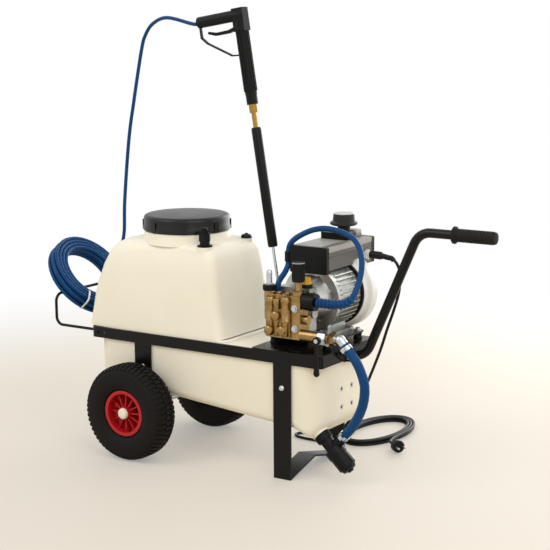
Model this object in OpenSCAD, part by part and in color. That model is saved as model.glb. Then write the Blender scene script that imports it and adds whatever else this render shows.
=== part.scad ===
// Wheeled sprayer cart: a blow-moulded tank in a flat-bar belt frame on two
// wheels and a front stand, with an electric piston pump on a deck, a rear
// cradle that carries the delivery hose, a lance and a single pull handle.
// X runs along the cart to the handle, Y across it, Z up from the ground.

/* [Frame] */
// Distance from the axle back to the frame's hose end
frame_back = 178; // [168:1:186]
// Length of the belt frame
frame_l = 744; // [736:1:760]
// Width over the belt frame
frame_w = 270; // [262:1:276]
// Height of the frame's top edge above the ground
frame_top = 334; // [326:1:342]
// Height of the frame's flat bar
bar_h = 30; // [24:1:34]
// Thickness of the frame's flat bar
bar_t = 4; // [3:0.5:5]
// Outer corner radius of the frame
frame_r = 14; // [8:1:20]
// Width of the front stand's strip
stand_w = 52; // [40:1:60]
// Thickness of the front stand's strip
stand_t = 5; // [3:0.5:6]
// Distance from the axle to the middle of the front stand
stand_x = 448; // [440:1:456]
// Height of the fold in the middle of the stand
stand_fold_z = 34; // [20:1:44]
// Width of the two legs that hold the axle
leg_w = 53; // [44:1:60]
// Thickness of the axle legs
leg_t = 5; // [4:0.5:6]
// Thickness of the deck plate
deck_t = 3; // [2:0.5:4]
// Length of the deck plate from the frame's handle end
deck_l = 211; // [205:1:230]

/* [Wheels] */
// Outside diameter of the tyres
tyre_d = 260; // [250:1:268]
// Width of the tyres
tyre_w = 85; // [70:1:90]
// Distance between the middle planes of the wheels
track = 384; // [380:1:396]
// Diameter of the rim's lips
rim_d = 124; // [112:1:130]
// Diameter of the axle
axle_d = 20; // [16:1:24]
// Length of the wheel hubs
hub_l = 60; // [50:1:64]
// Lugs round each row of the tread
lug_count = 56; // [40:1:60]
// Height of the tread lugs
lug_h = 3; // [2:0.5:4]
// Radial clearance of the wheel hubs on the axle
hub_fit = 0.05; // [0.02:0.01:0.1]

/* [Tank] */
// Gap between the tank and the frame
tank_gap = 3; // [2:0.5:5]
// Wall thickness of the tank
tank_wall = 5; // [4:0.5:6]
// Height of the tank's deepest point above the ground
sump_z = 112; // [104:1:118]
// Height of the tank's upper block above the frame
block_h = 250; // [240:1:260]
// Plan radius of the tank's lower corners
tank_r = 60; // [45:1:70]
// Distance from the axle to the middle of the filler
filler_x = 57; // [50:1:64]
// Outside diameter of the filler neck
neck_d = 208; // [196:1:212]
// Height of the filler neck above the block
neck_h = 48; // [40:1:54]
// Diameter over the filler lid's rim
lid_d = 240; // [232:1:246]
// Height of the filler lid
lid_h = 42; // [36:1:48]
// Depth of the strainer basket
strainer_h = 110; // [80:1:130]
// Spacing across of the threaded inserts in the tank's end
insert_dy = 50; // [40:1:60]
// Spacing up of the threaded inserts in the tank's end
insert_dz = 48; // [40:1:60]
// Tapping hole of the threaded inserts
insert_hole_d = 6.8; // [5:0.1:8.5]

/* [Motor and pump] */
// Distance from the axle to the motor's axis
motor_x = 452; // [448:1:456]
// Height of the motor's axis above the ground
motor_z = 452; // [448:1:458]
// Diameter over the motor's fins
motor_d = 172; // [160:1:176]
// Length of the motor's finned housing
motor_l = 105; // [95:1:108]
// Diameter of the fan cowl
cowl_d = 204; // [196:1:208]
// Diameter of the motor's shaft
shaft_d = 19; // [14:1:22]
// Number of fins round the motor
fin_count = 40; // [30:2:48]
// Width of the brass pump head
head_w = 104; // [96:1:108]
// Depth of the brass pump head
head_t = 52; // [44:1:56]
// Height of the brass pump head
head_h = 112; // [104:1:118]
// Diameter of the regulator's knob
reg_knob_d = 32; // [26:1:36]
// Diameter of the outlet's quick plug
plug_d = 15; // [12:0.5:18]

/* [Control box] */
// Width of the control box
box_w = 110; // [100:1:116]
// Length of the control box
box_l = 244; // [230:1:246]
// Height of the control box
box_h = 68; // [60:1:74]
// Diameter of the switch knob's flange
knob_d = 74; // [60:1:78]

/* [Suction line and filter] */
// Outside diameter of the suction hose
suction_d = 25; // [22:1:28]
// Bore of the suction hose
suction_bore = 19; // [16:1:20]
// Downward tilt of the filter in degrees
filter_tilt = 43; // [40:1:46]
// Diameter of the filter bowl
bowl_d = 50; // [44:1:54]
// Length of the ball valve's lever
lever_l = 96; // [80:1:104]
// Outside diameter of the bypass hose
bypass_d = 15; // [12:1:16]
// Bore of the bypass hose
bypass_bore = 9; // [6:1:10]

/* [Handle] */
// Diameter of the handle tube
handle_d = 24; // [20:1:28]
// Wall thickness of the handle tube
handle_wall = 2; // [1.5:0.5:3]
// Height of the handle's grip above the ground
handle_z = 650; // [630:1:670]
// Distance from the axle to the end of the grip
grip_end_x = 975; // [960:1:990]
// Length of the rubber grip
grip_l = 112; // [100:1:130]
// Slope of the handle tube from level in degrees
handle_slope = 65.6; // [62:0.1:68]
// Bend radius of the handle tube
bend_r = 50; // [42:1:60]

/* [Hose cradle and lance] */
// Diameter of the cradle's round bar
cradle_d = 8; // [6:1:10]
// Distance the cradle stands out behind the frame
cradle_out = 155; // [150:1:160]
// Height of the cradle's cross rail above the ground
rail_z = 401; // [392:1:406]
// Half the spacing of the cradle's arms
cradle_y = 100; // [92:1:104]
// Diameter of the lance tube
lance_d = 14; // [12:1:18]
// Diameter of the lance's insulating sleeve
sleeve_d = 26; // [22:1:30]
// Lean of the lance from upright in degrees
lance_lean = 9.2; // [8.4:0.2:10]
// Diameter of the delivery hose
hose_d = 10; // [8:0.5:11]
// Turns side by side in the hose coil
coil_turns = 4; // [3:1:4]
// Layers in the hose coil
coil_layers = 4; // [2:2:4]
// Diameter of the power lead
lead_d = 8; // [7:0.5:9]

/* [Hidden] */

$fn = 48;
eps = 0.01;
seat = 0.3;
steel_black = "#2a2725";
zinc = "#b9bcc0";
cream = "#efe9d8";
brass = "#b98a3e";
alloy = "#c6c6c2";
plastic_black = "#1b1a19";
rubber_black = "#242322";
rim_red = "#b4141c";
hose_blue = "#1d4a7a";
box_grey = "#9a9a98";

// Frame
frame_x0 = -frame_back;
frame_x1 = frame_x0 + frame_l;
half_w = frame_w / 2;
frame_low = frame_top - bar_h;
deck_x0 = frame_x1 - deck_l;
deck_top = frame_top + deck_t;
axle_z = tyre_d / 2;
leg_inner = half_w - leg_t;
bolt_d = 16;

// Wheels
wheel_y = track / 2;
hub_d = 34;
hub_in = wheel_y - hub_l / 2;
hub_out = wheel_y + hub_l / 2;
axle_end = hub_out + 4;
rim_seat = rim_d - 8;
rim_half = 31;
carcass_d = tyre_d - 2 * lug_h;

// Tank
tank_x0 = frame_x0 + bar_t + tank_gap;
tank_x1 = frame_x1 - 6;
tank_half = half_w - bar_t - tank_gap;
shoulder_z = frame_top + block_h;
neck_top = shoulder_z + neck_h;
neck_wall = 8;
mouth_d = neck_d - 2 * neck_wall;
basket_d = mouth_d - 8;
basket_t = 2;
seal_t = 3;
lid_z0 = shoulder_z + 21;
insert_z = sump_z + 95;
insert_d = 16;

// Deck, motor and pump
mount_h = 17;
pan_z = deck_top + mount_h;
pan_t = 3;
pan_top = pan_z + pan_t;
pan_x0 = motor_x - 94;
pan_x1 = motor_x + 94;
pan_in = motor_x - 56;
pan_y0 = -64;
pan_y1 = 118;
mount_inset = 14;
bracket_x0 = motor_x - 43;
bracket_x1 = motor_x + 83;
motor_y0 = 10;
motor_y1 = motor_y0 + motor_l;
ring_t = 7;
cowl_y0 = motor_y1 + ring_t;
cowl_y1 = cowl_y0 + 54;
shaft_fit = 0.05;
flange_d = 168;
head_y0 = -66 - head_t;
head_x0 = motor_x - 66;
head_x1 = head_x0 + head_w;
head_z0 = 366;
head_z1 = head_z0 + head_h;
outlet_x = head_x0 + 4;
outlet_y = -100;
reg_x = head_x1 - 17;
reg_y = -92;
union_z = head_z1 - 14;
suction_y = -104;
suction_z = head_z0 + 12;
valve_x = head_x1 + 67;
elbow_x = valve_x + 46;

// Control box
box_x0 = motor_x - box_w / 2;
box_z1 = motor_z + 136;
box_z0 = box_z1 - box_h;
box_y0 = -12;
box_y1 = box_y0 + box_l;
cap_l = 12;
saddle_r = motor_d / 2 + 8;
gland_y = 190;
gland_z = box_z1 - 43;
knob_x = motor_x + 10;
knob_y = 150;

// Filter
filter_x = 534;
filter_y = -82;
filter_z = 120;
branch_s = 46;

// Handle
handle_x0 = frame_x1 + 2;
handle_z0 = frame_top - 17;
clamp_l = 14;
bend_t = bend_r * tan(handle_slope / 2);
lower_x = 616;
upper_x = lower_x + (handle_z - handle_z0) / tan(handle_slope);
grip_x0 = grip_end_x - grip_l;
grip_t = 4.5;

// The row's origin is under the middle of the cart's length
rail_x = frame_x0 - cradle_out;
mid_x = (grip_end_x + rail_x - cradle_d / 2) / 2;

// Lance and coil
lance_x = 375;
lance_y = -2;
lance_foot_z = deck_top + 8;
gun_axis = 842;
arm_z = frame_top - 19;
coil_pitch = hose_d + 0.6;
coil_tilt = 48;

// ---- shared shapes ----

// Mirrored to the near side when s is negative
module scale_y(s) {
  if (s > 0) children();
  else mirror([0, 1, 0]) children();
}

module centred() translate([-mid_x, 0, 0]) children();

// Rounded rectangle from the origin, with true arcs at its corners
module round_rect(l, w, r) {
  translate([r, 0]) square([l - 2 * r, w]);
  translate([0, r]) square([l, w - 2 * r]);
  for (x = [r, l - r])
    for (y = [r, w - r])
      translate([x, y]) circle(r);
}

module round_block(l, w, h, r) linear_extrude(h) round_rect(l, w, r);

// Cylinder along X, Y or Z from its own start point
module rod_x(d, l) rotate([0, 90, 0]) cylinder(d = d, h = l);
module rod_y(d, l) rotate([-90, 0, 0]) cylinder(d = d, h = l);
module rod_z(d, l) cylinder(d = d, h = l);
module hex_x(d, l) rotate([0, 90, 0]) cylinder(d = d, h = l, $fn = 6);
module hex_y(d, l) rotate([-90, 0, 0]) cylinder(d = d, h = l, $fn = 6);

// A profile drawn in X and Z, extruded along Y from y0 to y1
module profile_xz(y0, y1) translate([0, y1, 0]) rotate([90, 0, 0]) linear_extrude(y1 - y0) children();
// A profile drawn in Y and Z, extruded along X from x0 to x1
module profile_yz(x0, x1) translate([x0, 0, 0]) rotate([90, 0, 90]) linear_extrude(x1 - x0) children();

function unit(v) = v / norm(v);
function left_of(v) = [-v.y, v.x];

// An open line moved to its left by d, with mitred corners
function beside(p, d) = [
  for (i = [0:1:len(p) - 1])
    let (a = i == 0 ? left_of(unit(p[1] - p[0])) : left_of(unit(p[i] - p[i - 1])))
    let (b = i == len(p) - 1 ? a : left_of(unit(p[i + 1] - p[i])))
    p[i] + d * (a + b) / (1 + a * b)
];

// A strip of thickness t to the left of an open line
module strip(p, t) {
  inner = beside(p, t);
  polygon(concat(p, [for (i = [len(p) - 1:-1:0]) inner[i]]));
}

// Faces of a skin over k rings of n points, closed by a face at each end
function skin_faces(k, n) = concat(
  [[for (i = [0:1:n - 1]) i]],
  [[for (i = [n - 1:-1:0]) (k - 1) * n + i]],
  [for (j = [0:1:k - 2]) for (i = [0:1:n - 1])
    each [[j * n + i, (j + 1) * n + i, (j + 1) * n + (i + 1) % n],
          [j * n + i, (j + 1) * n + (i + 1) % n, j * n + (i + 1) % n]]]
);

// Faces of a hose wall: k rings of n points, out along the outside and back
// along the bore, joined round at both ends
function wall_faces(k, n) = [for (j = [0:1:k - 1]) for (i = [0:1:n - 1])
  let (m = (j + 1) % k)
  each [[j * n + i, m * n + i, m * n + (i + 1) % n], [j * n + i, m * n + (i + 1) % n, j * n + (i + 1) % n]]
];

// ---- frame and running gear ----

module belt_frame() color(steel_black) centred() {
  difference() {
    translate([frame_x0, -half_w, frame_low])
      round_block(frame_l, frame_w, bar_h, frame_r);
    translate([frame_x0 + bar_t, bar_t - half_w, frame_low - 1])
      round_block(frame_l - 2 * bar_t, frame_w - 2 * bar_t, bar_h + 2, frame_r - bar_t);
    for (x = [frame_x0 + 26, frame_x0 + 44])
      translate([x, -half_w - 1, frame_low + bar_h / 2]) rod_y(7, frame_w + 2);
  }
  // upturned stop at the hose end that the overhanging block leans against
  translate([frame_x0 - 3, -52, frame_low + 4]) cube([3 + eps, 24, bar_h - 4]);
}

module front_stand() color(steel_black) centred() {
  line = [[-half_w, frame_low], [-half_w, 0], [-15, stand_fold_z], [half_w, 0], [half_w, frame_low]];
  difference() {
    profile_yz(stand_x - stand_w / 2, stand_x + stand_w / 2) strip(line, stand_t);
    for (s = [-1, 1])
      translate([stand_x, s * (half_w - stand_t / 2) - stand_t, stand_bolt_z]) rod_y(9, 2 * stand_t);
  }
}
stand_bolt_z = frame_top - 93;

module axle_leg(s) {
  y0 = s > 0 ? leg_inner : -half_w;
  difference() {
    profile_xz(y0, y0 + leg_t) {
      translate([-leg_w / 2, axle_z]) square([leg_w, frame_low - axle_z]);
      translate([0, axle_z]) circle(d = leg_w);
    }
    translate([0, y0 - 1, axle_z]) rod_y(axle_d + 0.1, leg_t + 2);
    translate([0, y0 - 1, stand_bolt_z]) rod_y(9, leg_t + 2);
  }
}

module axle_legs() color(steel_black) centred() for (s = [-1, 1]) axle_leg(s);

module axle() color(zinc) centred() {
  translate([0, -axle_end, axle_z]) rod_y(axle_d, 2 * axle_end);
  // distance collars between the legs and the wheel hubs
  for (s = [-1, 1])
    translate([0, s > 0 ? half_w : -hub_in + seat, axle_z]) rod_y(axle_d + 8, hub_in - half_w - seat);
}

module axle_caps() color(cream) centred() for (s = [-1, 1]) scale_y(s) translate([0, hub_out + seat, axle_z])
  rotate([-90, 0, 0]) difference() {
    rotate_extrude() polygon([[0, 0], [15, 0], [15, 3], [13, 6.5], [8, 8.5], [0, 9]]);
    translate([0, 0, -1]) cylinder(d = axle_d, h = axle_end - hub_out - seat + 1);
  }

// Red moulded rim: barrel, lips, set-back web with ribs on both faces, hub
module rim(s) color(rim_red) centred() scale_y(s) translate([0, wheel_y, axle_z]) rotate([-90, 0, 0]) {
  difference() {
    union() {
      rotate_extrude() {
        translate([rim_seat / 2 - 5, -rim_half]) square([5, 2 * rim_half]);
        for (z = [-rim_half, rim_half - 4])
          translate([rim_seat / 2 - 5, z]) square([(rim_d - rim_seat) / 2 + 5, 4]);
        polygon([[hub_d / 2 - 2, -8], [rim_seat / 2 - 1, 2], [rim_seat / 2 - 1, 7], [hub_d / 2 - 2, -3]]);
        translate([axle_d / 2, -hub_l / 2]) square([(hub_d - axle_d) / 2, hub_l]);
      }
      for (i = [0:1:11])
        rotate([0, 0, 30 * i]) rotate([90, 0, 0]) translate([0, 0, -1.5]) linear_extrude(3)
          polygon([[hub_d / 2 - 2, -24], [rim_seat / 2 - 3, -14], [rim_seat / 2 - 3, 17], [hub_d / 2 - 2, 23]]);
    }
    translate([0, 0, -hub_l / 2 - 1]) cylinder(d = axle_d + 2 * hub_fit, h = hub_l + 2);
  }
}
module rim_near() rim(-1);
module rim_far() rim(1);

// Pneumatic tyre: round section and three staggered rows of small blocks
module tyre(s) color(rubber_black) centred() scale_y(s) translate([0, wheel_y, axle_z]) rotate([-90, 0, 0]) {
  w = tyre_w / 2;
  c = carcass_d / 2;
  shoulder = [for (a = [0:15:75]) [c - 21 + 21 * sin(a), w - 2 - 24 + 24 * cos(a)]];
  side = concat([
    [rim_seat / 2, rim_half - 5], [rim_d / 2 + 2, rim_half - 5], [rim_d / 2 + 5, rim_half + 3],
    [rim_d / 2 + 16, w - 2], [rim_d / 2 + 26, w]
  ], shoulder, [[c, 12]]);
  rotate_extrude() polygon(concat(
    [for (q = side) q], [for (k = [len(side) - 1:-1:0]) [side[k].x, -side[k].y]]
  ));
  step = 360 / lug_count;
  lug_w = 0.6 * PI * tyre_d / lug_count;
  for (i = [0:1:lug_count - 1]) {
    rotate([0, 0, i * step]) translate([c - 3, -lug_w / 2, -10]) cube([lug_h + 3, lug_w, 20]);
    for (m = [0, 1])
      mirror([0, 0, m]) rotate([0, 0, (i + 0.5) * step]) translate([0, lug_w / 2, 0]) rotate([90, 0, 0])
        linear_extrude(lug_w)
          polygon([[c - 5, 13], [c + lug_h, 13], [c + lug_h - 1, 24], [c - 6, w - 5.5], [c - 13, w - 8]]);
  }
}
module tyre_near() tyre(-1);
module tyre_far() tyre(1);

// Dome bolts, washers and the threaded inserts of the tank's end
module dome_bolt(d) {
  rotate_extrude() polygon([[0, 0], [d / 2, 0], [d / 2 - 0.5, 2], [d / 3, 4.5], [0, 5.5]]);
}

module fasteners() color(zinc) centred() {
  for (x = [0, stand_x])
    for (s = [-1, 1])
      scale_y(s) translate([x, half_w, stand_bolt_z]) rotate([-90, 0, 0]) dome_bolt(bolt_d);
  // washers and nuts on the rubber mounts
  for (x = [pan_x0 + mount_inset, pan_x1 - mount_inset])
    for (y = [pan_y0 + mount_inset, pan_y1 - mount_inset])
      translate([x, y, pan_top]) {
        cylinder(d = 22, h = 2);
        cylinder(d = 14, h = 8, $fn = 6);
      }
  // head bolts: two on the face, three on the side
  for (z = [head_z0 + 28, head_z0 + 80])
    translate([head_x1 - 16, head_y0 - 1, z]) {
      hex_y(13, 7);
      translate([0, 5.5, 0]) rod_y(18, 1.5);
    }
  for (z = [head_z0 + 22, head_z0 + 73, head_z0 + 96])
    translate([head_x0 - 9, -79, z]) hex_x(13, 9);
  // clamp bolt of the handle
  translate([handle_x0 + 8, -handle_d / 2 - 10.6, handle_z0 - 4]) hex_y(11, 6);
  // inserts set flush in the tank's end
  for (y = [-1, 1])
    for (z = [-1, 1])
      translate([tank_x1 - 12, y * insert_dy / 2, insert_z + z * insert_dz / 2]) difference() {
        rod_x(insert_d, 12);
        translate([-1, 0, 0]) rod_x(insert_hole_d, 14);
      }
  // worm-drive clamps on the suction hose
  for (t = [0, 1]) hose_clamp(t);
}

// ---- tank ----

// Underside of the lower tank along the cart, moved up by g
function tank_floor(x, g) = lookup(x, [
  [tank_x0 + g, sump_z + 104 + g], [tank_x0 + 8 + g, sump_z + 84 + g], [tank_x0 + 30 + g, sump_z + 73 + g],
  [filler_x + 41, sump_z + 53 + g], [stand_x + 24, sump_z + 21 + g],
  [filter_x - 13 - g / 3, sump_z + 1.3 * g], [tank_x1 - g, sump_z + 42 + g]
]);

// Half width of a plan with round corners of radius r, at a distance d from its end
function plan_half(d, w, r) = d >= r ? w : w - r + sqrt(r * r - (r - d) * (r - d));

// One cross-section of the lower tank: upright sides and rounded lower edges
function tank_section(x, g) =
  let (w = plan_half(min(x - tank_x0, tank_x1 - x) - g, tank_half - g, tank_r - g))
  let (zb = tank_floor(x, g))
  let (r = 25 - g)
  let (top = frame_top - g)
  concat(
    [[x, -w, top]],
    [for (a = [0:15:90]) [x, -w + r - r * cos(a), zb + r - r * sin(a)]],
    [for (a = [90:-15:0]) [x, w - r + r * cos(a), zb + r - r * sin(a)]],
    [[x, w, top]]
  );

module lower_tank(g) {
  ends = [for (a = [0:15:90]) (tank_r - g) * (1 - cos(a))];
  stations = concat(
    [for (e = ends) tank_x0 + g + e],
    [filler_x + 41, stand_x + 24],
    [for (i = [len(ends) - 1:-1:0]) tank_x1 - g - ends[i]]
  );
  rings = [for (x = stations) tank_section(x, g)];
  n = len(rings[0]);
  polyhedron([for (r = rings) each r], skin_faces(len(rings), n));
}

// Rounded plan ring of the upper block: left and right corner radii rl and rr
function block_ring(z, x0, x1, w, rl, rr) = concat(
  [for (a = [180:15:270]) [x0 + rl + rl * cos(a), -w + rl + rl * sin(a), z]],
  [for (a = [270:15:360]) [x1 - rr + rr * cos(a), -w + rr + rr * sin(a), z]],
  [for (a = [0:15:90]) [x1 - rr + rr * cos(a), w - rr + rr * sin(a), z]],
  [for (a = [90:15:180]) [x0 + rl + rl * cos(a), w - rl + rl * sin(a), z]]
);

// Upper block: overhangs the frame at the hose end, leans in to a rounded top
module upper_tank(g) {
  t = frame_top;
  s = shoulder_z;
  x = filler_x;
  h = tank_half - g;
  rl = 52 - g;
  rr = 32 - g;
  rings = [
    block_ring(t - 34, tank_x0 + 2 + g, x + 194 - g, h - 1, rl, rr),
    block_ring(t + g, tank_x0 + 3 + g, x + 197 - g, h - 0.6, rl, rr),
    block_ring(t + g + 0.6, x - 268 + g, x + 214 - g, h, rl, rr),
    block_ring(t + g + 4, x - 267 + g, x + 206 - g, h, rl, rr),
    block_ring(t + g + 12, x - 265 + g, x + 200 - g, h, rl, rr),
    block_ring(t + 88, x - 249 + g, x + 188 - g, h - 1, rl, rr),
    block_ring(t + 124, x - 238 + g, x + 183 - g, h - 2, rl, rr),
    block_ring(t + 174, x - 217 + g, x + 176 - g, h - 4, rl, rr),
    block_ring(s - 36, x - 193 + g, x + 169 - g, h - 7, rl, rr),
    block_ring(s - 18 - g, x - 174 + g, x + 161 - g, h - 14, rl, rr),
    block_ring(s - 7 - g, x - 152 + g, x + 148 - g, h - 24, rl, rr),
    block_ring(s - 2 - g, x - 129 + g, x + 131 - g, h - 37, rl, rr),
    block_ring(s - g, x - 104 + g, x + 112 - g, h - 54, rl, rr)
  ];
  n = len(rings[0]);
  polyhedron([for (r = rings) each r], skin_faces(len(rings), n));
}

module tank() color(cream) centred() difference() {
  union() {
    lower_tank(0);
    upper_tank(0);
    translate([filler_x, 0, shoulder_z - 12]) cylinder(d = neck_d, h = neck_h + 12);
    // collar that fills up to the lid's skirt
    translate([filler_x, 0, shoulder_z - 12]) cylinder(d1 = neck_d + 32, d2 = neck_d + 22, h = 31);
    // foot of the neck
    translate([filler_x, 0, shoulder_z - 12]) cylinder(d = neck_d + 16, h = 18);
    // seats of the two fittings on top
    translate([return_x, return_y, shoulder_z - 20]) cylinder(d = 46, h = 14);
    translate([breather_x, breather_y, shoulder_z - 20]) cylinder(d = 34, h = 16);
    // screwed outlet at the sump
    at_filter() translate([0, 0, -26]) cylinder(d = 46, h = 26);
  }
  lower_tank(tank_wall);
  upper_tank(tank_wall);
  translate([filler_x, 0, shoulder_z - 30]) cylinder(d = mouth_d, h = neck_h + 31);
  at_filter() translate([0, 0, -40]) cylinder(d = 22, h = 41);
  // flat seats cut level for the two fittings
  translate([return_x, return_y, shoulder_z - 6]) cylinder(d = 41, h = 20);
  translate([breather_x, breather_y, shoulder_z - 4]) cylinder(d = 31, h = 20);
  for (y = [-1, 1])
    for (z = [-1, 1])
      translate([tank_x1 - 12, y * insert_dy / 2, insert_z + z * insert_dz / 2]) rod_x(insert_d, 13);
}
return_x = filler_x + 126;
return_y = 35 - tank_half;
breather_x = filler_x + 141;
breather_y = 78;

module strainer_basket() color("#2f3133") centred() translate([filler_x, 0, neck_top]) difference() {
  union() {
    cylinder(d = neck_d - 2, h = basket_t);
    translate([0, 0, -strainer_h]) cylinder(d = basket_d, h = strainer_h);
  }
  translate([0, 0, basket_t - strainer_h]) cylinder(d = basket_d - 2 * basket_t, h = strainer_h + 1);
  // windows for the mesh
  for (i = [0:1:7])
    for (k = [0, 1])
      rotate([0, 0, 45 * i]) translate([0, -24, k * 48 + 10 - strainer_h])
        cube([basket_d, 48, strainer_h / 2 - 14]);
}

// Screw lid with a domed top, a stepped rim and upright lugs
module lid() color(plastic_black) centred() translate([filler_x, 0, lid_z0]) {
  r = lid_d / 2;
  inner_z = neck_top + basket_t + seal_t - lid_z0;
  rotate_extrude($fn = 96) polygon([
    [0, inner_z], [neck_d / 2 + 1, inner_z], [neck_d / 2 + 1, 0], [r - 3, 0], [r - 1, 2], [r - 1, 10],
    [r - 3, 14], [r - 3, lid_h - 12], [r - 4, lid_h - 7], [r - 7, lid_h - 3], [r - 12, lid_h - 1],
    [r * 0.6, lid_h + 1.5], [r * 0.3, lid_h + 2.7], [6, lid_h + 3], [0, lid_h + 3]
  ]);
  for (i = [0:1:7])
    rotate([0, 0, 33 + 45 * i]) translate([r - 6, -7, 1]) cube([6, 14, lid_h - 16]);
}

module lid_seal() color("#3a3a3a") centred() translate([filler_x, 0, neck_top + basket_t])
  difference() {
    cylinder(d = neck_d, h = seal_t);
    translate([0, 0, -1]) cylinder(d = mouth_d, h = seal_t + 2);
  }

module tank_breather() color(plastic_black) centred() translate([breather_x, breather_y, shoulder_z - 4])
  rotate_extrude() polygon([[0, 0], [15, 0], [15, 4], [12, 9], [5, 11], [4, 13], [0, 13]]);

// Return union: flange, neck, hexagon body and hose nut
module return_fitting() color(plastic_black) centred() translate([return_x, return_y, shoulder_z - 6]) {
  cylinder(d = 40, h = 4);
  translate([0, 0, 4]) cylinder(d = 27, h = 12);
  translate([0, 0, 15]) cylinder(d = 33, h = 21, $fn = 6);
  translate([0, 0, 36]) cylinder(d = 22, h = 6);
  translate([0, 0, 42]) cylinder(d = 16, h = 8);
  // outlet stub of the thin hose
  translate([4, 0, 42]) rod_x(6, 18);
}

// ---- deck, motor and pump ----

module deck_plate() color(steel_black) centred() difference() {
  translate([deck_x0, -half_w, frame_top]) round_block(deck_l, frame_w, deck_t, 6);
  for (x = [pan_x0 + mount_inset, pan_x1 - mount_inset])
    for (y = [pan_y0 + mount_inset, pan_y1 - mount_inset])
      translate([x, y, frame_top - 1]) cylinder(d = 8.4, h = deck_t + 2);
}

module rubber_mounts() color(rubber_black) centred()
  for (x = [pan_x0 + mount_inset, pan_x1 - mount_inset])
    for (y = [pan_y0 + mount_inset, pan_y1 - mount_inset])
      translate([x, y, deck_top]) rotate_extrude()
        polygon([[0, 0], [12, 0], [12, 2], [10, mount_h / 2], [12, mount_h - 2], [12, mount_h], [0, mount_h]]);

// Sheet pan under pump and motor with a sloping front skirt
module pump_bracket() color(plastic_black) centred() difference() {
  union() {
    translate([pan_in, pan_y0, pan_z]) round_block(pan_x1 - pan_in, pan_y1 - pan_y0, pan_t, 10);
    translate([motor_x - 68, 18, pan_z]) round_block(60, pan_y1 - 18, pan_t, 4);
    // ears over the rubber mounts
    for (y = [pan_y0, pan_y1 - 2 * mount_inset])
      translate([pan_x0, y, pan_z]) round_block(60, 2 * mount_inset, pan_t, 10);
    profile_yz(bracket_x0, bracket_x1)
      strip([[-112, deck_top + seat], [-84, pan_z], [pan_y0 + 12, pan_z]], pan_t);
  }
  for (x = [pan_x0 + mount_inset, pan_x1 - mount_inset])
    for (y = [pan_y0 + mount_inset, pan_y1 - mount_inset])
      translate([x, y, pan_z - 1]) cylinder(d = 8.4, h = pan_t + 2);
}

module at_motor() translate([motor_x, 0, motor_z]) children();

// Finned aluminium housing with its feet and the seat of the control box
module motor_housing() color(alloy) centred() at_motor() difference() {
  union() {
    translate([0, motor_y0, 0]) rod_y(motor_d - 20, motor_l);
    for (y = [motor_y0, motor_y1 - 12]) translate([0, y, 0]) rod_y(motor_d - 8, 12);
    for (i = [0:1:fin_count - 1])
      rotate([0, 360 * i / fin_count, 0]) translate([-1.3, motor_y0 + 10, motor_d / 2 - 14])
        cube([2.6, motor_l - 18, 14]);
    // box seat
    intersection() {
      translate([-30, motor_y0 + 6, motor_d / 2 - 20]) cube([60, motor_l - 12, 30]);
      translate([0, motor_y0, 0]) rod_y(2 * saddle_r - 0.2, motor_l);
    }
    // feet
    for (s = [-1, 1])
      translate([s * 46 - 20, motor_y0 + 8, pan_top - motor_z]) {
        cube([40, motor_l - 16, 9]);
        translate([s > 0 ? 2 : 26, 0, 8]) cube([12, motor_l - 16, 30]);
      }
  }
  translate([0, motor_y0 - 1, 0]) rod_y(shaft_d + 2 * shaft_fit, motor_l + 2);
}

module cowl_ring() color(plastic_black) centred() at_motor() translate([0, motor_y1, 0]) difference() {
  rod_y(motor_d + 6, ring_t);
  translate([0, -1, 0]) rod_y(shaft_d + 2 * shaft_fit, ring_t + 2);
}

// Pressed cowl: step behind the ring, drum, rounded edge, slotted end grille
module fan_cowl() color(box_grey) centred() at_motor() translate([0, cowl_y0, 0]) rotate([-90, 0, 0]) difference() {
  l = cowl_y1 - cowl_y0;
  r = cowl_d / 2;
  rotate_extrude($fn = 96) polygon([
    [motor_d / 2, 0], [r - 12, 0], [r - 9, 12], [r, 20], [r, l - 8], [r - 2.4, l - 2.4], [r - 8, l],
    [0, l], [0, l - 2], [r - 8, l - 2], [r - 3.4, l - 4], [r - 2, l - 8], [r - 2, 21],
    [r - 11, 13], [r - 14, 2], [motor_d / 2, 2]
  ]);
  for (a = [0:30:330])
    rotate([0, 0, a]) for (d = [22, 44, 66])
      translate([d, -d * 0.2, l - 4]) cube([12, d * 0.4, 6]);
}

module motor_shaft() color("#a9acb0") centred() at_motor()
  translate([0, -22, 0]) rod_y(shaft_d, cowl_y0 + 62);

module cooling_fan() color(plastic_black) centred() at_motor() translate([0, cowl_y0 + 24, 0])
  rotate([-90, 0, 0]) difference() {
    union() {
      cylinder(d = 46, h = 18);
      for (i = [0:1:7])
        rotate([0, 0, 45 * i]) translate([20, -1.5, 0]) cube([cowl_d / 2 - 32, 3, 16]);
      cylinder(d = cowl_d - 30, h = 2.5);
    }
    translate([0, 0, -1]) cylinder(d = shaft_d, h = 20);
  }

// Bell between motor and pump: flange, cone and gusset ribs
module pump_flange() color(alloy) centred() at_motor() difference() {
  union() {
    translate([0, 0.5, 0]) rod_y(flange_d, motor_y0 - 0.5);
    translate([0, -34, 0]) rotate([-90, 0, 0]) cylinder(d1 = 96, d2 = 124, h = 36);
    for (i = [0:1:7])
      rotate([0, 22.5 + 45 * i, 0]) translate([-3, 0, 0]) rotate([90, 0, 90]) linear_extrude(6)
        polygon([[2, 40], [2, 66], [-34, 46], [-34, 40]]);
  }
  translate([0, -35, 0]) rod_y(44, 36);
  translate([0, -1, 0]) rod_y(shaft_d + 2 * shaft_fit, motor_y0 + 2);
}

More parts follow.
